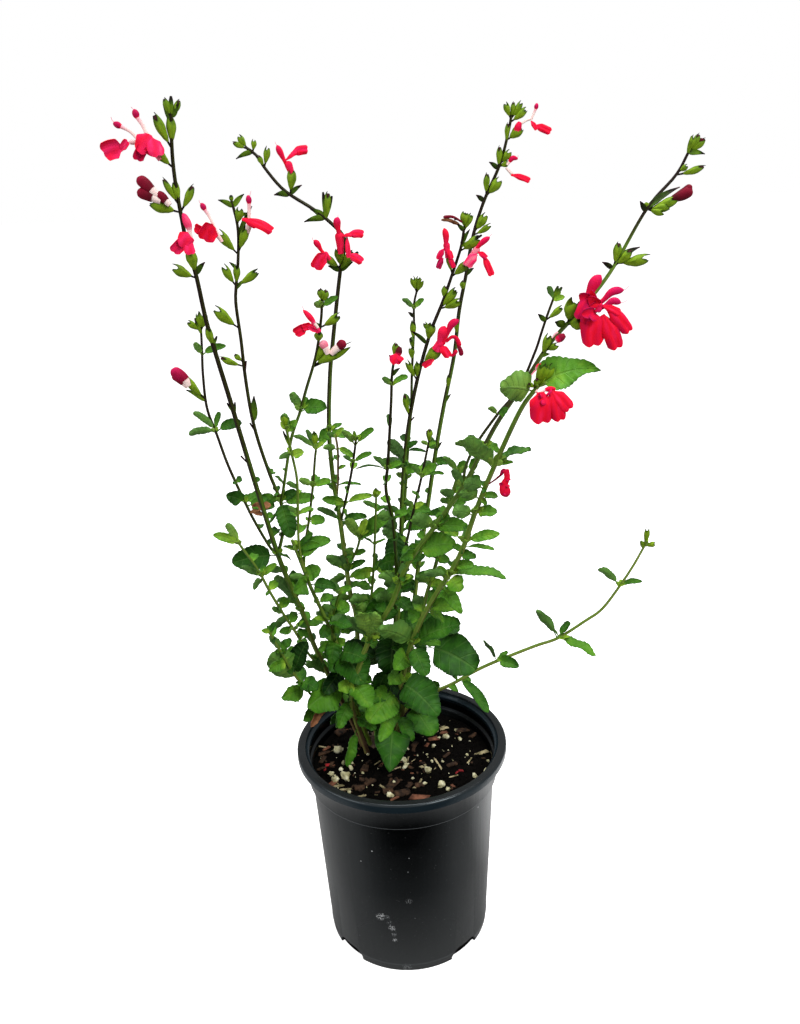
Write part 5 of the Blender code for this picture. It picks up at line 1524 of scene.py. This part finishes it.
inflorescence("stem_back_tall", [
    (478, 234, 487, 213, 7, 0, 0.4), (477, 235, 492, 224, 5, 1, 0.5), (486, 196, 487, 172, 5, 1, 0.8),
    (487, 197, 501, 178, 8, 0, 0.4), (498, 168, 500, 145, 5, 0, 1.0), (500, 165, 511, 150, 6, 0, 0.7),
    (507, 142, 523, 126, 8, 1, 0.4), (508, 144, 508, 122, 4, 0, 0.9), (512, 122, 527, 108, 6, 0, 0.5),
    (511, 118, 505, 102, 5, 1, 0.6), (511, 118, 514, 101, 4, 0, 0.9), (511, 118, 522, 101, 5, -1, 0.7),
    (466, 292, 463, 280, 5, 1, 0.8), (461, 336, 457, 321, 4, 1, 0.6), (455, 390, 449, 375, 4, 1, 0.6),
    (502, 168, 509, 162, 5, -1, 0.5),
], [(509, 142, 508, 128, 3, -1, 1.0)], [
    (498, 170, 489, 162, 4, 1, 20, 0.5), (484, 203, 476, 195, 4, 1, 20, 0.6), (466, 275, 474, 268, 4, 1, 20, 0.5),
    (444, 402, 451, 394, 3, 1, 20, 0.4), (436, 450, 442, 442, 3, 1, 20, 0.4),
])
inflorescence("stem_right_tall", [
    (613, 265, 619, 241, 6, -1, 0.9), (620, 266, 651, 257, 8, 2, 0.4), (612, 267, 633, 249, 6, 1, 0.9),
    (647, 210, 680, 198, 7, 2, 0.5), (648, 211, 672, 206, 6, 4, 0.4), (648, 212, 666, 213, 5, 5, 0.4),
    (646, 210, 646, 202, 4, -2, 0.8), (680, 177, 706, 166, 5, 1, 0.9), (678, 172, 688, 165, 4, 2, 0.7),
    (687, 152, 695, 135, 5, 1, 0.6), (687, 152, 700, 133, 5, 0, 0.8), (687, 153, 706, 138, 5, -1, 0.8),
    (565, 323, 575, 298, 11, 4, 0.3), (567, 325, 584, 322, 9, 7, 0.3), (537, 354, 550, 333, 6, 1, 0.6),
    (548, 351, 559, 344, 5, 3, 0.4),
], [(688, 152, 692, 136, 3, 0, 1.0)], [
    (648, 209, 680, 187, 5, -1, 30, 0.5), (688, 155, 705, 154, 4, 1, 20, 0.3), (612, 270, 602, 262, 4, 1, 30, 0.7),
    (544, 357, 550, 354, 3, 1, 20, 0.3), (646, 211, 640, 201, 4, 1, 30, 0.6), (566, 326, 555, 322, 6, 3, 20, 0.3),
    (620, 262, 640, 247, 5, -1, 30, 0.5), (525, 382, 517, 374, 4, 2, 30, 0.5),
])
inflorescence("shoot_right_inner", [(547, 321, 563, 306, 5, 1, 0.7)],
              [(554, 298, 558, 286, 3, 1, 0.6), (554, 298, 562, 287, 3, 0, 0.6)],
              [(546, 322, 538, 314, 4, 1, 20, 0.4)])
inflorescence("shoot_middle_low", [(430, 443, 430, 428, 5, 0, 0.8)], [(430, 441, 427, 431, 3, 1, 0.8)])
inflorescence("shoot_beside_bent", [], [(356, 441, 354, 431, 3, 0, 0.3)])
inflorescence("shoot_short_left", [(286, 430, 283, 413, 5, 1, 0.3)], [(290, 448, 283, 431, 2, 1, 1.0)])
inflorescence("shoot_short_right", [(315, 450, 314, 431, 5, 0, 0.6)])
inflorescence("stem_front", [
    (539, 384, 543, 362, 6, 2, 0.2), (540, 384, 548, 364, 6, 0, 0.2), (538, 386, 554, 364, 6, -1, 0.3),
    (536, 388, 528, 383, 3, 2, 1.0), (538, 388, 537, 378, 4, 3, 0.9),
], [], [(540, 384, 548, 372, 5, 1, 30, 0.1), (537, 386, 539, 366, 5, 2, 30, 0.1)])
inflorescence("stem_trailing", [(645, 547, 648, 527, 5, 0, 0.2), (645, 547, 656, 543, 5, 1, 0.2)],
              [(645, 548, 641, 541, 4, 1, 0.2)])
inflorescence("shoot_centre", [(376, 500, 376, 488, 5, 0, 0.2)])

# Flowers
# A narrow pale tube opens into two lips: a magenta hood folded over a pink-tipped style, and a
# broad scarlet lower lip, notched in the middle, that hangs or spreads. Petals are soft and matt.
PETAL_THICKNESS = 0.3 * MM
PALE_TONE = 0.03
WHISKER_RADIUS = 0.22 * MM


def petal_material():
    """Tone runs from white through pink, scarlet, magenta and crimson to maroon."""
    made, shader, spots = new_material("petal_skin", 0.6, 190.0, 1500.0, Specular_IOR_Level=0.06)
    tree = made.node_tree
    tone = node(tree, "ShaderNodeAttribute", attribute_name="tone")
    blade = node(tree, "ShaderNodeAttribute", attribute_name="blade")
    parts = tree.nodes.new("ShaderNodeSeparateXYZ")
    tree.links.new(blade.outputs["Vector"], parts.inputs[0])
    shifted = sums(tree, "ADD", tone.outputs["Fac"],
                   sums(tree, "MULTIPLY", sums(tree, "SUBTRACT", spots.outputs["Blotches"], 0.5), 0.16))
    color = ramp(tree, shifted, [
        (0.0, (0.88, 0.72, 0.66)), (0.2, (0.84, 0.30, 0.38)), (0.38, (0.84, 0.020, 0.12)),
        (0.55, (0.75, 0.004, 0.022)), (0.72, (0.51, 0.006, 0.080)), (0.87, (0.20, 0.004, 0.020)),
        (1.0, (0.055, 0.005, 0.009)),
    ])
    streak = sums(tree, "PINGPONG", sums(tree, "MULTIPLY", parts.outputs[1], 3.5), 0.5)
    lines = ramp(tree, streak, [(0.0, (0.72, 0.72, 0.72)), (0.16, (1, 1, 1))])
    color = mixed(tree, "MULTIPLY", 0.12, color, lines)
    tree.links.new(color, shader.inputs["Base Color"])
    crinkle = sums(tree, "ADD", sums(tree, "MULTIPLY", streak, 0.3), spots.outputs["Grain"])
    bumped(tree, shader, crinkle, 0.3, 0.0005)
    return made


PETAL_SKIN = petal_material()


SOFT_ROD_ROWS = 18
SOFT_ROD = wand_mesh(9, SOFT_ROD_ROWS)


def soft_rod(shape, line, radius_at, tone_at):
    """A petal that is rolled or folded into a rod with a round end."""
    length = sum((b - a).length for a, b in zip(line, line[1:]))
    cap = min(0.6, max(0.16, radius_at(1) / length))

    def blunt_radius_at(along):
        return radius_at(along) * max(0.03, 1 - max(0, (along - 1 + cap) / cap) ** 2) ** 0.5

    wand(shape, SOFT_ROD, resample(line, SOFT_ROD_ROWS), blunt_radius_at, tone_at)


def hood(shape, line, width, tone, pale):
    """The upper lip, folded down round the style, wider and blunt at its end. pale is its pale share."""
    if not pale:
        soft_rod(shape, line, lambda along: width * (0.24 + 0.2 * exp(-((along - 0.76) / 0.24) ** 2)),
                 lambda along: tone - 0.1 + 0.14 * along)
        return
    fine = resample(line, 40)
    turn = round(40 * pale)
    soft_rod(shape, fine[:turn + 4], lambda along: width * (0.2 + 0.05 * along),
             lambda along: PALE_TONE + 0.3 * along**4)
    soft_rod(shape, fine[turn - 2:], lambda along: width * 0.4 * sin(pi * (0.2 + 0.68 * along)),
             lambda along: tone - 0.25 * max(0, 1 - 5 * along))


def closed_petals(shape, line, width, tone, pale):
    """A bud or an opening flower seen from outside: a pale throat and a rounded dark head."""
    fine = resample(line, 40)
    turn = round(40 * pale)
    if not pale:
        soft_rod(shape, fine, lambda along: width / 2 * (0.5 + 0.55 * sin(pi / 2 * min(1, 1.4 * along))),
                 lambda along: tone + 0.1 * (0.5 - along))
        return
    soft_rod(shape, fine[:turn + 6], lambda along: width / 2 * (0.62 + 0.3 * along), lambda along: PALE_TONE)
    soft_rod(shape, fine[turn:], lambda along: width / 2 * (0.9 + 0.14 * sin(pi * along)),
             lambda along: tone + 0.1 * (0.5 - along))


def lip(shape, root, tip, width, turn, tone, chance, notch=0.08, corner=0.2, droop=0.12):
    """The lower lip: narrow where it leaves the throat, then broad, with two round lobes at its end."""
    length = (tip - root).length
    middle = root.lerp(tip, 0.5) + Vector((0, 0, droop * length)) + (EYE - root).normalized() * droop * length
    line = bowed(root, middle, tip)
    sway = chance.uniform(0, 2 * pi)
    claw = min(0.6, max(0.25, 0.62 - 0.35 * width / length))

    def half_at(along):
        grown = min(1, along / claw)
        return width / 2 * (0.3 + 0.7 * grown**2 * (3 - 2 * grown)) * (1 - 0.04 * max(0, along - 0.5) ** 2 / 0.25)

    def reach_at(along, aside):
        return -along**3 * width / length * (notch * exp(-(aside / 0.25) ** 2) + corner * abs(aside) ** 2.8)

    def lift_at(along, aside):
        dome = 0.08 * sin(pi * abs(aside)) * min(1, 2 * along)
        return width * (dome + 0.09 * along * aside**2 * sin(7 * along + 3 * aside + sway))

    def tone_at(along, aside):
        return tone + 0.05 * sin(5 * aside + 4 * along + sway) + 0.1 * abs(aside) ** 5 * along

    sheet(shape, PETAL_SHEET, line, blade_side(line, turn), half_at, PETAL_THICKNESS, tone_at, -0.55, lift_at,
          reach_at)


def crumple(shape, centre, size, count, tone, chance):
    """The folded throat and withered bits: small petal strips that fold over each other."""
    for index in range(count):
        start = centre + ACROSS * size * chance.uniform(-0.4, 0.4) + UPWARD * size * chance.uniform(-0.4, 0.4)
        angle = chance.uniform(0, 2 * pi)
        out = ACROSS * cos(angle) + UPWARD * sin(angle) - AHEAD * chance.uniform(0.0, 0.5)
        end = start + out * size * chance.uniform(0.35, 0.6)
        fold = bowed(start, start.lerp(end, 0.5) - AHEAD * size * 0.2, end, 12)
        shade = tone + chance.uniform(-0.08, 0.08)
        sheet(shape, SMALL_SHEET, fold, blade_side(fold, chance.uniform(0, 1.2)),
              lambda along: size * 0.2 * (0.3 + sin(pi * along) ** 0.5), PETAL_THICKNESS,
              lambda along, aside: shade + 0.16 * abs(aside) ** 3, -0.8)


def flower(name, nodes, stem_name, node_at, toward, parts):
    """A flower built from its parts, each given by places in the picture.

    ("tube", points, width, tone), ("hood", points, width, tone, pale share),
    ("lip", root, tip, width, turn, tone), ("whisker", points), ("head", points, width, tone),
    ("club", points, width, tone, pale share), ("crumple", spot, size, count, tone)
    """
    shape = new_growth()
    chance = Random(name)
    root = stems[stem_name]["line"][nearest_step(stem_name, node_at)]
    depth = root.y / MM - toward

    def points(places, nearer=0.0):
        chosen = [place(across, down, depth - nearer) for across, down in places]
        return smooth_line(chosen, 8) if len(chosen) > 2 else bowed(chosen[0], (chosen[0] + chosen[1]) / 2, chosen[1])

    for kind, *values in parts:
        if kind == "tube":
            places, width, tone = values
            soft_rod(shape, points(places), lambda along: width / 2 * MM * (0.62 + 0.5 * along), lambda along: tone)
        elif kind == "club":
            places, width, tone, pale = values
            closed_petals(shape, points(places), width * MM, tone, pale)
        elif kind == "crumple":
            spot, size, count, tone = values
            crumple(shape, place(*spot, depth - 3), size * MM, count, tone, chance)
        elif kind == "head":
            places, width, tone = values
            rod(shape, points(places), lambda along: width / 2 * MM * (0.35 + 0.75 * sin(pi * (0.12 + 0.8 * along))),
                lambda along: tone * min(1, 0.25 + along * 1.6))
        elif kind == "hood":
            places, width, tone, pale = values
            hood(shape, points(places, 1), width * MM, tone, pale)
        elif kind == "lip":
            start, end, width, turn, tone = values
            line = points([start, end], 2)
            lip(shape, line[0], line[-1] + (EYE - line[-1]).normalized() * 2 * MM, width * MM, radians(turn), tone,
                chance)
        elif kind == "whisker":
            rod(shape, points(values[0], 1), lambda along: WHISKER_RADIUS * (1 - 0.3 * along), lambda along: 0.2)
    bmesh.ops.recalc_face_normals(shape, faces=shape.faces)
    finish_piece(name, shape, PETAL_SKIN, nodes, 60)


flower("left_top_open", ["flower_left_top"], "stem_left_tall", (172, 172), 6, [
    ("tube", [(160, 160), (153, 150), (148, 138)], 4.0, 0.3),
    ("hood", [(149, 140), (143, 126), (137, 117), (134, 109)], 5.0, 0.76, 0.78),
    ("lip", (149, 134), (146, 156), 13, 15, 0.46), ("lip", (151, 138), (159, 157), 10, 20, 0.42),
    ("lip", (145, 142), (137, 161), 7, 20, 0.66), ("crumple", (148, 148), 5, 3, 0.56),
    ("whisker", [(136, 113), (133, 109), (131, 107)]),
    ("tube", [(146, 148), (138, 143), (129, 142)], 2.8, 0.06),
    ("hood", [(142, 144), (131, 132), (122, 127), (113, 123)], 4.6, 0.76, 0.8),
    ("lip", (122, 148), (102, 153), 11, 10, 0.42), ("lip", (121, 151), (128, 141), 4.4, 15, 0.42),
    ("whisker", [(115, 123), (112, 120), (111, 117)]),
])
flower("left_upper_buds", ["flower_left_buds"], "stem_left_tall", (179, 212), 5, [
    ("club", [(160, 197), (151, 190), (144, 183), (137, 178)], 6.6, 0.9, 0.38),
    ("club", [(161, 201), (152, 197), (145, 194), (137, 192)], 6.6, 0.92, 0.34),
    ("club", [(170, 205), (165, 200), (161, 196), (156, 194)], 5, 0.9, 0.3),
])
flower("left_middle_open", ["flower_left_middle"], "stem_left_tall", (196, 275), 8, [
    ("tube", [(192, 254), (190, 246), (188, 236)], 4.0, 0.2),
    ("hood", [(191, 240), (189, 228), (186, 220), (183, 213)], 6, 0.36, 0.4),
    ("lip", (189, 233), (184, 248), 10, 15, 0.45), ("lip", (186, 240), (173, 253), 7.5, 15, 0.42),
    ("lip", (187, 241), (191, 255), 7, 15, 0.43), ("crumple", (185, 243), 4, 2, 0.55),
])
flower("second_left_open", ["flower_second_left"], "stem_left_second", (238, 256), 6, [
    ("tube", [(222, 242), (216, 233), (212, 226)], 3.8, 0.1),
    ("hood", [(215, 228), (209, 216), (205, 210), (201, 203)], 4.8, 0.74, 0.78),
    ("lip", (214, 226), (203, 241), 12, 15, 0.54), ("lip", (207, 235), (194, 227), 6.5, 20, 0.55),
    ("whisker", [(203, 207), (200, 203), (199, 200)]),
])
flower("second_right_open", ["flower_second_right"], "stem_left_second", (238, 254), 1, [
    ("tube", [(245, 240), (248, 230), (250, 222)], 3.8, 0.06),
    ("hood", [(249, 224), (249, 212), (249, 203), (248, 195)], 4.8, 0.74, 0.76),
    ("lip", (242, 219), (273, 231), 7.5, 30, 0.56), ("lip", (244, 219), (257, 227), 5, 20, 0.54),
    ("whisker", [(249, 198), (250, 195), (251, 191)]),
])
flower("outer_red_bud", ["flower_outer_red_bud"], "shoot_left_outer", (203, 400), 3, [
    ("tube", [(190, 386), (186, 381), (181, 377)], 3.2, 0.12),
    ("club", [(189, 386), (184, 379), (178, 374), (171, 370)], 8, 0.8, 0.3),
    ("club", [(188, 387), (183, 382), (178, 378), (172, 375)], 6, 0.86, 0.3),
])
flower("bent_top_open", ["flower_bent_top"], "stem_bent", (293, 190), 0, [
    ("tube", [(293, 177), (290, 169), (287, 161)], 5.6, 0.48),
    ("hood", [(289, 170), (283, 158), (279, 150), (277, 145)], 5.0, 0.62, 0),
    ("lip", (285, 161), (297, 152), 3.4, 35, 0.48), ("lip", (291, 154), (308, 149), 6.5, 15, 0.47),
    ("whisker", [(278, 147), (276, 144), (275, 142)]),
])
flower("bent_left_open", ["flower_bent_left"], "stem_bent", (340, 268), 8, [
    ("tube", [(330, 260), (327, 256), (324, 252)], 4.0, 0.46),
    ("hood", [(326, 256), (321, 250), (318, 245), (314, 240)], 5.0, 0.6, 0),
    ("lip", (326, 254), (314, 269), 9.5, 15, 0.48), ("whisker", [(315, 242), (313, 240), (312, 237)]),
])
flower("bent_right_open", ["flower_bent_right"], "stem_bent", (341, 266), 9, [
    ("tube", [(341, 254), (340, 244), (339, 232)], 6.4, 0.48),
    ("hood", [(340, 240), (338, 229), (337, 222), (338, 217)], 6.0, 0.64, 0),
    ("lip", (342, 236), (352, 235), 3.2, 35, 0.5), ("lip", (347, 235), (364, 234), 6, 15, 0.49),
    ("lip", (347, 237), (349, 258), 4, 25, 0.47), ("lip", (348, 255), (363, 262), 6.5, 15, 0.49),
    ("whisker", [(338, 219), (338, 217), (338, 214)]),
])
flower("inner_open", ["flower_inner"], "shoot_left_inner", (320, 330), 6, [
    ("tube", [(320, 332), (316, 327), (312, 322)], 3.6, 0.4),
    ("hood", [(318, 328), (312, 320), (307, 314), (303, 310)], 4.8, 0.5, 0.3),
    ("lip", (318, 333), (308, 327), 3, 15, 0.42), ("lip", (312, 326), (302, 328), 5, 15, 0.52),
    ("lip", (307, 328), (294, 334), 7, 15, 0.56),
    ("whisker", [(304, 311), (303, 308), (302, 306)]),
])
flower("inner_lower_buds", [], "shoot_left_inner", (316, 366), 4, [
    ("club", [(328, 354), (326, 349), (324, 345), (321, 341)], 5.5, 0.24, 0.5),
    ("club", [(331, 354), (336, 349), (340, 346), (345, 341)], 6.0, 0.9, 0.55),
])
flower("back_left_open", ["flower_back_left"], "stem_back_second", (450, 279), 3, [
    ("tube", [(448, 256), (447, 248), (446, 242)], 5.0, 0.46),
    ("hood", [(447, 258), (446, 246), (446, 236), (444, 228)], 5.4, 0.5, 0),
    ("lip", (444, 249), (438, 260), 4.5, 15, 0.66), ("lip", (443, 258), (438, 269), 4.5, 15, 0.78),
    ("lip", (448, 249), (452, 259), 4, 15, 0.5), ("lip", (449, 256), (454, 268), 4, 15, 0.64),
])
flower("back_right_open", ["flower_back_right"], "stem_back_second", (452, 275), 3, [
    ("tube", [(464, 265), (471, 257), (479, 247)], 5.0, 0.26),
    ("hood", [(470, 258), (478, 247), (484, 241), (490, 237)], 5.0, 0.64, 0),
    ("lip", (477, 254), (467, 267), 7.5, 15, 0.34), ("lip", (478, 252), (487, 258), 4.5, 25, 0.6),
    ("lip", (483, 255), (492, 276), 5.5, 20, 0.54), ("whisker", [(489, 238), (490, 236), (492, 234)]),
])
flower("back_low_open", ["flower_back_low"], "stem_back_second", (421, 366), 6, [
    ("tube", [(434, 350), (438, 346), (443, 341)], 7.0, 0.47),
    ("hood", [(438, 352), (440, 340), (443, 331), (445, 326)], 8.0, 0.48, 0),
    ("hood", [(443, 344), (448, 332), (452, 324), (459, 320)], 6.5, 0.66, 0),
    ("tube", [(446, 342), (452, 337), (457, 339), (460, 347)], 3.4, 0.6),
    ("lip", (440, 346), (450, 357), 7, 20, 0.52), ("tube", [(448, 355), (453, 355), (457, 350)], 3, 0.6),
    ("club", [(457, 342), (459, 347), (461, 352), (461, 356)], 3.4, 0.86, 0),
    ("lip", (434, 360), (423, 367), 5, 25, 0.5),
])
flower("middle_red_bud", [], "stem_middle", (395, 362), 3, [
    ("lip", (396, 354), (396, 365), 8, 20, 0.62), ("lip", (396, 357), (391, 362), 4, 20, 0.66),
    ("lip", (397, 357), (403, 361), 4, 20, 0.6), ("head", [(398, 356), (399, 351), (400, 347)], 4, 0.98),
])
flower("back_top_open", ["flower_back_top"], "stem_back_tall", (510, 128), 2, [
    ("tube", [(521, 124), (527, 120), (533, 118)], 2.2, -0.05),
    ("hood", [(531, 120), (534, 113), (536, 108), (537, 103)], 4.0, 0.72, 0.7),
    ("lip", (531, 121), (537, 130), 3.6, 20, 0.52), ("lip", (534, 126), (551, 132), 6, 15, 0.54),
])
flower("back_top_withering", [], "stem_back_tall", (510, 130), 3, [
    ("head", [(516, 134), (518, 127), (520, 122)], 5, 0.62),
])
flower("back_upper_right_open", [], "stem_back_tall", (500, 164), 1, [
    ("tube", [(506, 168), (509, 171), (513, 175)], 2.6, 0.04),
    ("hood", [(507, 165), (510, 161), (513, 158), (518, 159)], 4.6, 0.66, 0.3),
    ("lip", (511, 175), (530, 181), 4.8, 20, 0.55), ("whisker", [(516, 159), (518, 157), (518, 155)]),
])
flower("right_upper_open", ["flower_right_upper"], "stem_right_tall", (568, 322), 2, [
    ("tube", [(577, 312), (583, 303), (588, 296)], 6.0, 0.66),
    ("hood", [(580, 310), (588, 296), (594, 284), (601, 275)], 8.6, 0.66, 0),
    ("hood", [(588, 306), (601, 302), (612, 292), (624, 290)], 6.0, 0.7, 0),
    ("whisker", [(621, 291), (626, 289), (629, 286)]),
])
flower("right_outer_open", ["flower_right_outer"], "stem_right_tall", (567, 324), 10, [
    ("tube", [(578, 316), (586, 311), (594, 307)], 7.0, 0.66),
    ("hood", [(594, 312), (605, 306), (613, 301), (621, 303)], 5.4, 0.72, 0),
    ("lip", (590, 310), (594, 347), 15, 10, 0.56), ("lip", (602, 315), (618, 349), 11.5, 12, 0.55),
    ("lip", (606, 307), (630, 332), 9, 15, 0.57), ("lip", (602, 306), (620, 313), 5.5, 20, 0.54),
    ("lip", (590, 298), (579, 320), 9, 20, 0.66), ("lip", (586, 300), (587, 324), 9, 20, 0.64),
    ("whisker", [(619, 303), (624, 302), (627, 300)]),
    ("crumple", (590, 304), 15, 6, 0.58), ("crumple", (596, 308), 8, 3, 0.66), ("crumple", (602, 305), 8, 3, 0.6),
])
flower("right_crimson_bud", ["flower_right_crimson"], "stem_right_tall", (648, 207), 2, [
    ("club", [(672, 199), (680, 196), (686, 193), (692, 189)], 7.4, 0.93, 0),
    ("club", [(678, 196), (683, 192), (687, 189), (692, 186)], 4.4, 0.96, 0),
])
flower("right_tip_bud", ["flower_bud_right_tip"], "stem_right_tall", (688, 153), 0, [
    ("club", [(694, 146), (697, 143), (700, 141), (703, 139)], 3, 1.0, 0),
])
flower("front_right_open", ["flower_front_right"], "stem_front", (531, 394), 12, [
    ("tube", [(536, 391), (541, 394), (546, 398)], 3.2, 0.1),
    ("lip", (541, 392), (543, 424), 14.5, 12, 0.56), ("lip", (551, 391), (561, 421), 9.5, 12, 0.55),
    ("lip", (553, 392), (570, 410), 9, 12, 0.55), ("crumple", (543, 398), 7, 4, 0.68),
    ("hood", [(538, 393), (545, 390), (551, 389), (556, 389)], 4.0, 0.6, 0.45),
])
flower("front_pink_line", [], "stem_right_tall", (525, 382), 4, [
    ("tube", [(526, 381), (534, 372), (540, 366)], 1.0, 0.24), ("head", [(536, 369), (539, 366), (542, 364)], 3, 0.5),
])
flower("right_inner_crimson", [], "stem_right_tall", (548, 350), 4, [
    ("head", [(556, 341), (560, 338), (565, 335)], 5, 0.86), ("tube", [(552, 338), (555, 334), (558, 332)], 1.6, 0.1),
])
flower("hanging_withered", [], "stem_front", (489, 484), 4, [
    ("tube", [(489, 484), (496, 479), (502, 474)], 1.4, 0.92), ("tube", [(501, 475), (503, 471), (506, 471)], 3, 0.8),
    ("hood", [(506, 470), (507, 478), (504, 486), (507, 497)], 8, 0.6, 0), ("crumple", (505, 482), 5, 3, 0.6),
    ("crumple", (505, 490), 4, 2, 0.62),
])
flower("back_second_withered", [], "stem_back_second", (461, 222), 2, [
    ("tube", [(462, 222), (453, 217), (443, 217)], 2.2, 0.9), ("crumple", (456, 219), 3.5, 3, 0.9),
])

# Floor and light
# A plain pale floor that runs to the horizon, a bright even sky and three soft lamps. The camera sees the floor glow
# white. For reflections and bounce light its colour is grey, with a dark patch painted in front of the pot, which
# paints the dark reflection down the middle of its wall, and a white patch painted to its right, which paints the
# highlight on its right side. The camera never sees these patches.
SKY_STRENGTH = 0.4
FLOOR_SEEN = (0.9, 0.9, 0.9)
FLOOR_BOUNCE = (0.42, 0.42, 0.42)
FLOOR_GLOW = 0.8
# A dark patch in the floor's bounce colour only, which paints the dark reflection on the pot's front.
SHADE_PATCH_SPOT = (0.0, -0.53, 0)
SHADE_PATCH_REACH = 0.45
# A white patch in the floor's bounce colour only, which paints the highlight on the pot's right side.
HIGHLIGHT_PATCH_SPOT = (0.26, 0.08, 0)
HIGHLIGHT_PATCH_REACH = 0.16
HIGHLIGHT_PATCH_BOUNCE = (1.0, 1.0, 1.0)

floor_shape = bmesh.new()
bmesh.ops.create_circle(floor_shape, segments=96, radius=30, cap_ends=True)
floor_mesh = bpy.data.meshes.new("floor")
floor_shape.to_mesh(floor_mesh)
floor_shape.free()
floor_paint = bpy.data.materials.new("floor_paint")
floor_paint.use_nodes = True
floor_tree = floor_paint.node_tree
floor_shader = floor_tree.nodes["Principled BSDF"]
floor_shader.inputs["Roughness"].default_value = 0.9
floor_shader.inputs["Specular IOR Level"].default_value = 0.0
floor_shader.inputs["Emission Color"].default_value = (1, 1, 1, 1)
floor_rays = floor_tree.nodes.new("ShaderNodeLightPath")
white_share = floor_rays.outputs["Is Camera Ray"]
floor_place = floor_tree.nodes.new("ShaderNodeTexCoord")
shade_patch_distance = floor_tree.nodes.new("ShaderNodeVectorMath")
shade_patch_distance.operation = "DISTANCE"
shade_patch_distance.inputs[1].default_value = SHADE_PATCH_SPOT
floor_tree.links.new(floor_place.outputs["Object"], shade_patch_distance.inputs[0])
bounce = ramp(floor_tree, sums(floor_tree, "DIVIDE", shade_patch_distance.outputs["Value"], SHADE_PATCH_REACH), [
    (0.75, (0, 0, 0)), (1.0, FLOOR_BOUNCE)])
highlight_patch_distance = floor_tree.nodes.new("ShaderNodeVectorMath")
highlight_patch_distance.operation = "DISTANCE"
highlight_patch_distance.inputs[1].default_value = HIGHLIGHT_PATCH_SPOT
floor_tree.links.new(floor_place.outputs["Object"], highlight_patch_distance.inputs[0])
highlight_patch = ramp(floor_tree, sums(floor_tree, "DIVIDE", highlight_patch_distance.outputs["Value"], HIGHLIGHT_PATCH_REACH), [
    (0.5, (1, 1, 1)), (1.0, (0, 0, 0))])
bounce = mixed(floor_tree, "MIX", highlight_patch, bounce, HIGHLIGHT_PATCH_BOUNCE)
floor_tree.links.new(mixed(floor_tree, "MIX", white_share, bounce, FLOOR_SEEN), floor_shader.inputs["Base Color"])
floor_tree.links.new(sums(floor_tree, "MULTIPLY", white_share, FLOOR_GLOW), floor_shader.inputs["Emission Strength"])
floor_mesh.materials.append(floor_paint)
floor = bpy.data.objects.new("floor", floor_mesh)
bpy.context.scene.collection.objects.link(floor)

world = bpy.data.worlds.new("sky")
world.use_nodes = True
sky = world.node_tree.nodes["Background"]
sky.inputs["Color"].default_value = (1, 1, 1, 1)
rays = world.node_tree.nodes.new("ShaderNodeLightPath")
behind = sums(world.node_tree, "MULTIPLY", rays.outputs["Is Camera Ray"], 1.0 - SKY_STRENGTH)
world.node_tree.links.new(sums(world.node_tree, "ADD", behind, SKY_STRENGTH), sky.inputs["Strength"])
bpy.context.scene.world = world
bpy.context.scene.view_settings.view_transform = "Standard"


def lamp(name, spot, aim, size, power):
    """A soft square lamp that faces a point."""
    data = bpy.data.lights.new(name, "AREA")
    data.size = size
    data.energy = power
    made = bpy.data.objects.new(name, data)
    made.location = spot
    made.rotation_mode = "QUATERNION"
    made.rotation_quaternion = (Vector(aim) - Vector(spot)).to_track_quat("-Z", "Y")
    bpy.context.scene.collection.objects.link(made)


lamp("key_lamp", (0.9, -1.0, 1.6), (0, 0, 0.3), 0.8, 27)
lamp("fill_lamp", (-1.2, -0.6, 1.0), (0, 0, 0.3), 1.0, 11)
lamp("top_lamp", (0.1, 0.3, 1.8), (0, 0, 0.3), 0.9, 20)
